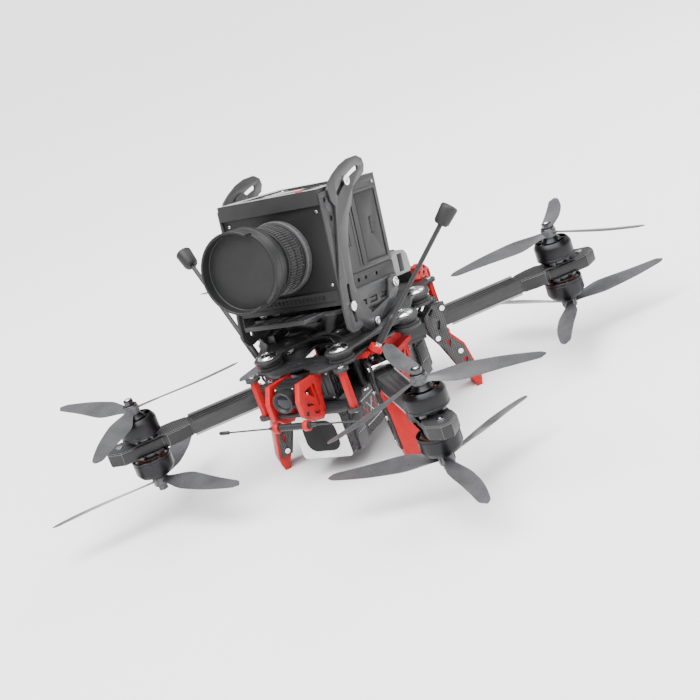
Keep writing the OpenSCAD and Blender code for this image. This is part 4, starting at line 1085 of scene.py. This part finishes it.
def battery():
    low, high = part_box("battery_pack")
    front, back = low.y / MM, high.y / MM
    bottom = low.z / MM
    half = high.x / MM
    pack = bevelled("battery_pack", [WRAP, END_WHITE], 0.8, 3)
    regions(pack, lambda at, normal: 1 if normal.y < -0.9 and at.y < front + 1 else 0)
    bm = bmesh.new()
    middle = bottom + 21
    # foam pad on the front end, wrap seam and shrunk rim
    rounded_slab(bm, 16.5, 14.0, 9.0, 0.9, 0, moved((0, front, middle)) @ turned(90, "X"))
    for y in (front + 1.2, back - 1.6):
        for side in (-1, 1):
            inner, outer = sorted((side * (half - 0.3), side * (half + 0.15)))
            box(bm, (inner, y, bottom + 4), (outer, y + 0.5, bottom + 38), 3, 0.1)
    # plain line pattern on both flanks: a triangle lattice, two bars and a fine frame
    for side in (-1, 1):
        inner, outer = sorted((side * (half - 0.2), side * (half + 0.1)))
        for i in range(5):
            for lean in (-1, 1):
                spot = moved((0, -52 + 7.5 * i, middle)) @ Matrix.Rotation(lean * 0.62, 4, "X")
                box(bm, (inner, -0.35, -9), (outer, 0.35, 9), 1 if i % 2 else 2, 0, spot)
        for z in (-11.5, 11.0):
            box(bm, (inner, -58, middle + z), (outer, 44, middle + z + 0.5), 1)
        for i in range(3):
            box(bm, (inner, -8 + 14 * i, middle - 6), (outer, -6.5 + 14 * i, middle + 6), 2)
            box(bm, (inner, -4 + 14 * i, middle - 6), (outer, 2 + 14 * i, middle + 6), 1)
    joins(make_object("battery_marks_low", bm, [FOAM, END_WHITE, LINE_RED, SHELL_DARK]), "battery_pack")
    bevelled("battery_straps", [STRAP], 0.3, 2)
    bm = bmesh.new()
    for y in (-72, 60):
        for side in (-1, 1):
            x = side * (half + 1.4)
            inner, outer = sorted((x, x + side * 1.0))
            box(bm, (inner, y - 7.2, bottom + 12), (outer, y + 7.2, bottom + 30), 0, 0.4)
            for stitch in range(5):
                box(bm, (inner, y - 6 + stitch * 2.8, bottom + 13), (outer + 0.08, y - 5.3 + stitch * 2.8,
                    bottom + 13.5), 1, 0.05)
    joins(make_object("strap_tabs", bm, [STRAP, END_WHITE]), "battery_straps")
    lead = bevelled("battery_lead", [LEAD_BLACK, LEAD_RED, PLUG_AMBER], 0.3, 2)
    low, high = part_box("battery_lead")
    plug = high.z / MM - 16

    def lead_side(at, normal):
        if at.z > plug - 0.1 and not (normal.z < -0.9 and at.z < plug - 0.05):
            return 2
        return 1 if at.x > 0 else 0

    regions(lead, lead_side)
    bm = bmesh.new()
    for i in range(4):
        z = plug + 3 + 2.6 * i
        box(bm, (-9.2, low.y / MM + 16, z), (9.2, high.y / MM - 0.02, z + 1.2), 0, 0.3)
    box(bm, (-5.8, low.y / MM + 17, plug + 15.6), (5.8, high.y / MM - 2, plug + 16), 1, 0.15)
    joins(make_object("plug_ribs", bm, [PLUG_AMBER, SHELL_DARK]), "battery_lead")


def stack_material(at, normal):
    """Rubber for the grommets round the four screws, and solder mask for the boards."""
    near = abs(abs(at.x) - 15.25) < 3.2 and abs(abs(at.y) - 15.25) < 3.2
    return 2 if near and abs(normal.z) < 0.9 else 0


def stack():
    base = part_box("flight_stack")[0].z / MM
    boards = bevelled("flight_stack", [BOARD, SATIN_BLACK, DAMPER], 0.15, 2)
    regions(boards, stack_material)
    dice = random.Random(7)
    bm = bmesh.new()
    for deck, count in ((3.6, 46), (11.1, 60)):
        for _ in range(count):
            x, y = dice.uniform(-16, 16), dice.uniform(-16, 16)
            if abs(abs(x) - 15.25) < 4 and abs(abs(y) - 15.25) < 4:
                continue
            w, d = dice.choice(((0.5, 0.9), (0.8, 1.4), (1.4, 1.4), (2.2, 1.2)))
            box(bm, (x - w, y - d, base + deck), (x + w, y + d, base + deck + dice.uniform(0.4, 0.9)),
                dice.choice((1, 1, 2, 3)), 0.08)
        for x in (-14, -7, 7, 14):
            box(bm, (x - 2.4, -18.9, base + deck), (x + 2.4, -14.8, base + deck + 2.4), 3, 0.2)
            for pin in range(4):
                box(bm, (x - 1.8 + pin, -19.0, base + deck + 0.8), (x - 1.3 + pin, -18.7,
                    base + deck + 1.4), 2)
    for x in (-7, 7):
        with placed(bm, moved((x, 6.5, base + 11.2))):
            lathe(bm, [(0, 0), (3.1, 0), (3.2, 0.4), (3.0, 0.8), (3.2, 1.2), (3.2, 6.0), (2.9, 6.4),
                (0, 6.2)], 32, 1)
    joins(make_object("board_parts", bm, [BOARD, SATIN_BLACK, SATIN_STEEL, END_WHITE]), "flight_stack")


def transmitter():
    low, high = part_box("video_transmitter")
    bevelled("video_transmitter", [MOTOR_GREY], 0.5, 3)
    bm = bmesh.new()
    front, back, top = low.y / MM, high.y / MM, high.z / MM
    for i in range(10):
        box(bm, (-18 + 3.7 * i, front + 3, top - 0.3), (-16.6 + 3.7 * i, back - 3, top + 0.9), 0, 0.25)
    socket_screws(bm, (-18.6, 18.6), [front], (low.z / MM + 2.4, top - 2.4), (0, -1, 0), 1.2, 1, 2)
    for x in (-10, 10):
        with placed(bm, moved((x, back, top - 8)) @ turned(-90, "X")):
            lathe(bm, [(0, 0), (3.1, 0), (3.1, 1.4), (2.5, 1.4), (2.5, 4.6), (2.2, 4.9), (0, 4.9)], 32, 1)
    joins(make_object("transmitter_fins", bm, [MOTOR_GREY, FERRULE, SHELL_DARK]), "video_transmitter")
    bevelled("receiver", [SATIN_BLACK], 0.35, 2)
    bm = bmesh.new()
    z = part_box("receiver")[1].z / MM
    box(bm, (-6.5, 73.5, z - 0.1), (-1, 79, z + 0.5), 1, 0.15)
    for i in range(6):
        box(bm, (3.5, 72 + 1.9 * i, z - 1.6), (10.5, 73 + 1.9 * i, z - 1.0), 2, 0.1)
    joins(make_object("receiver_parts", bm, [BOARD, MOTOR_GREY, SATIN_STEEL]), "receiver")


battery()
stack()
transmitter()
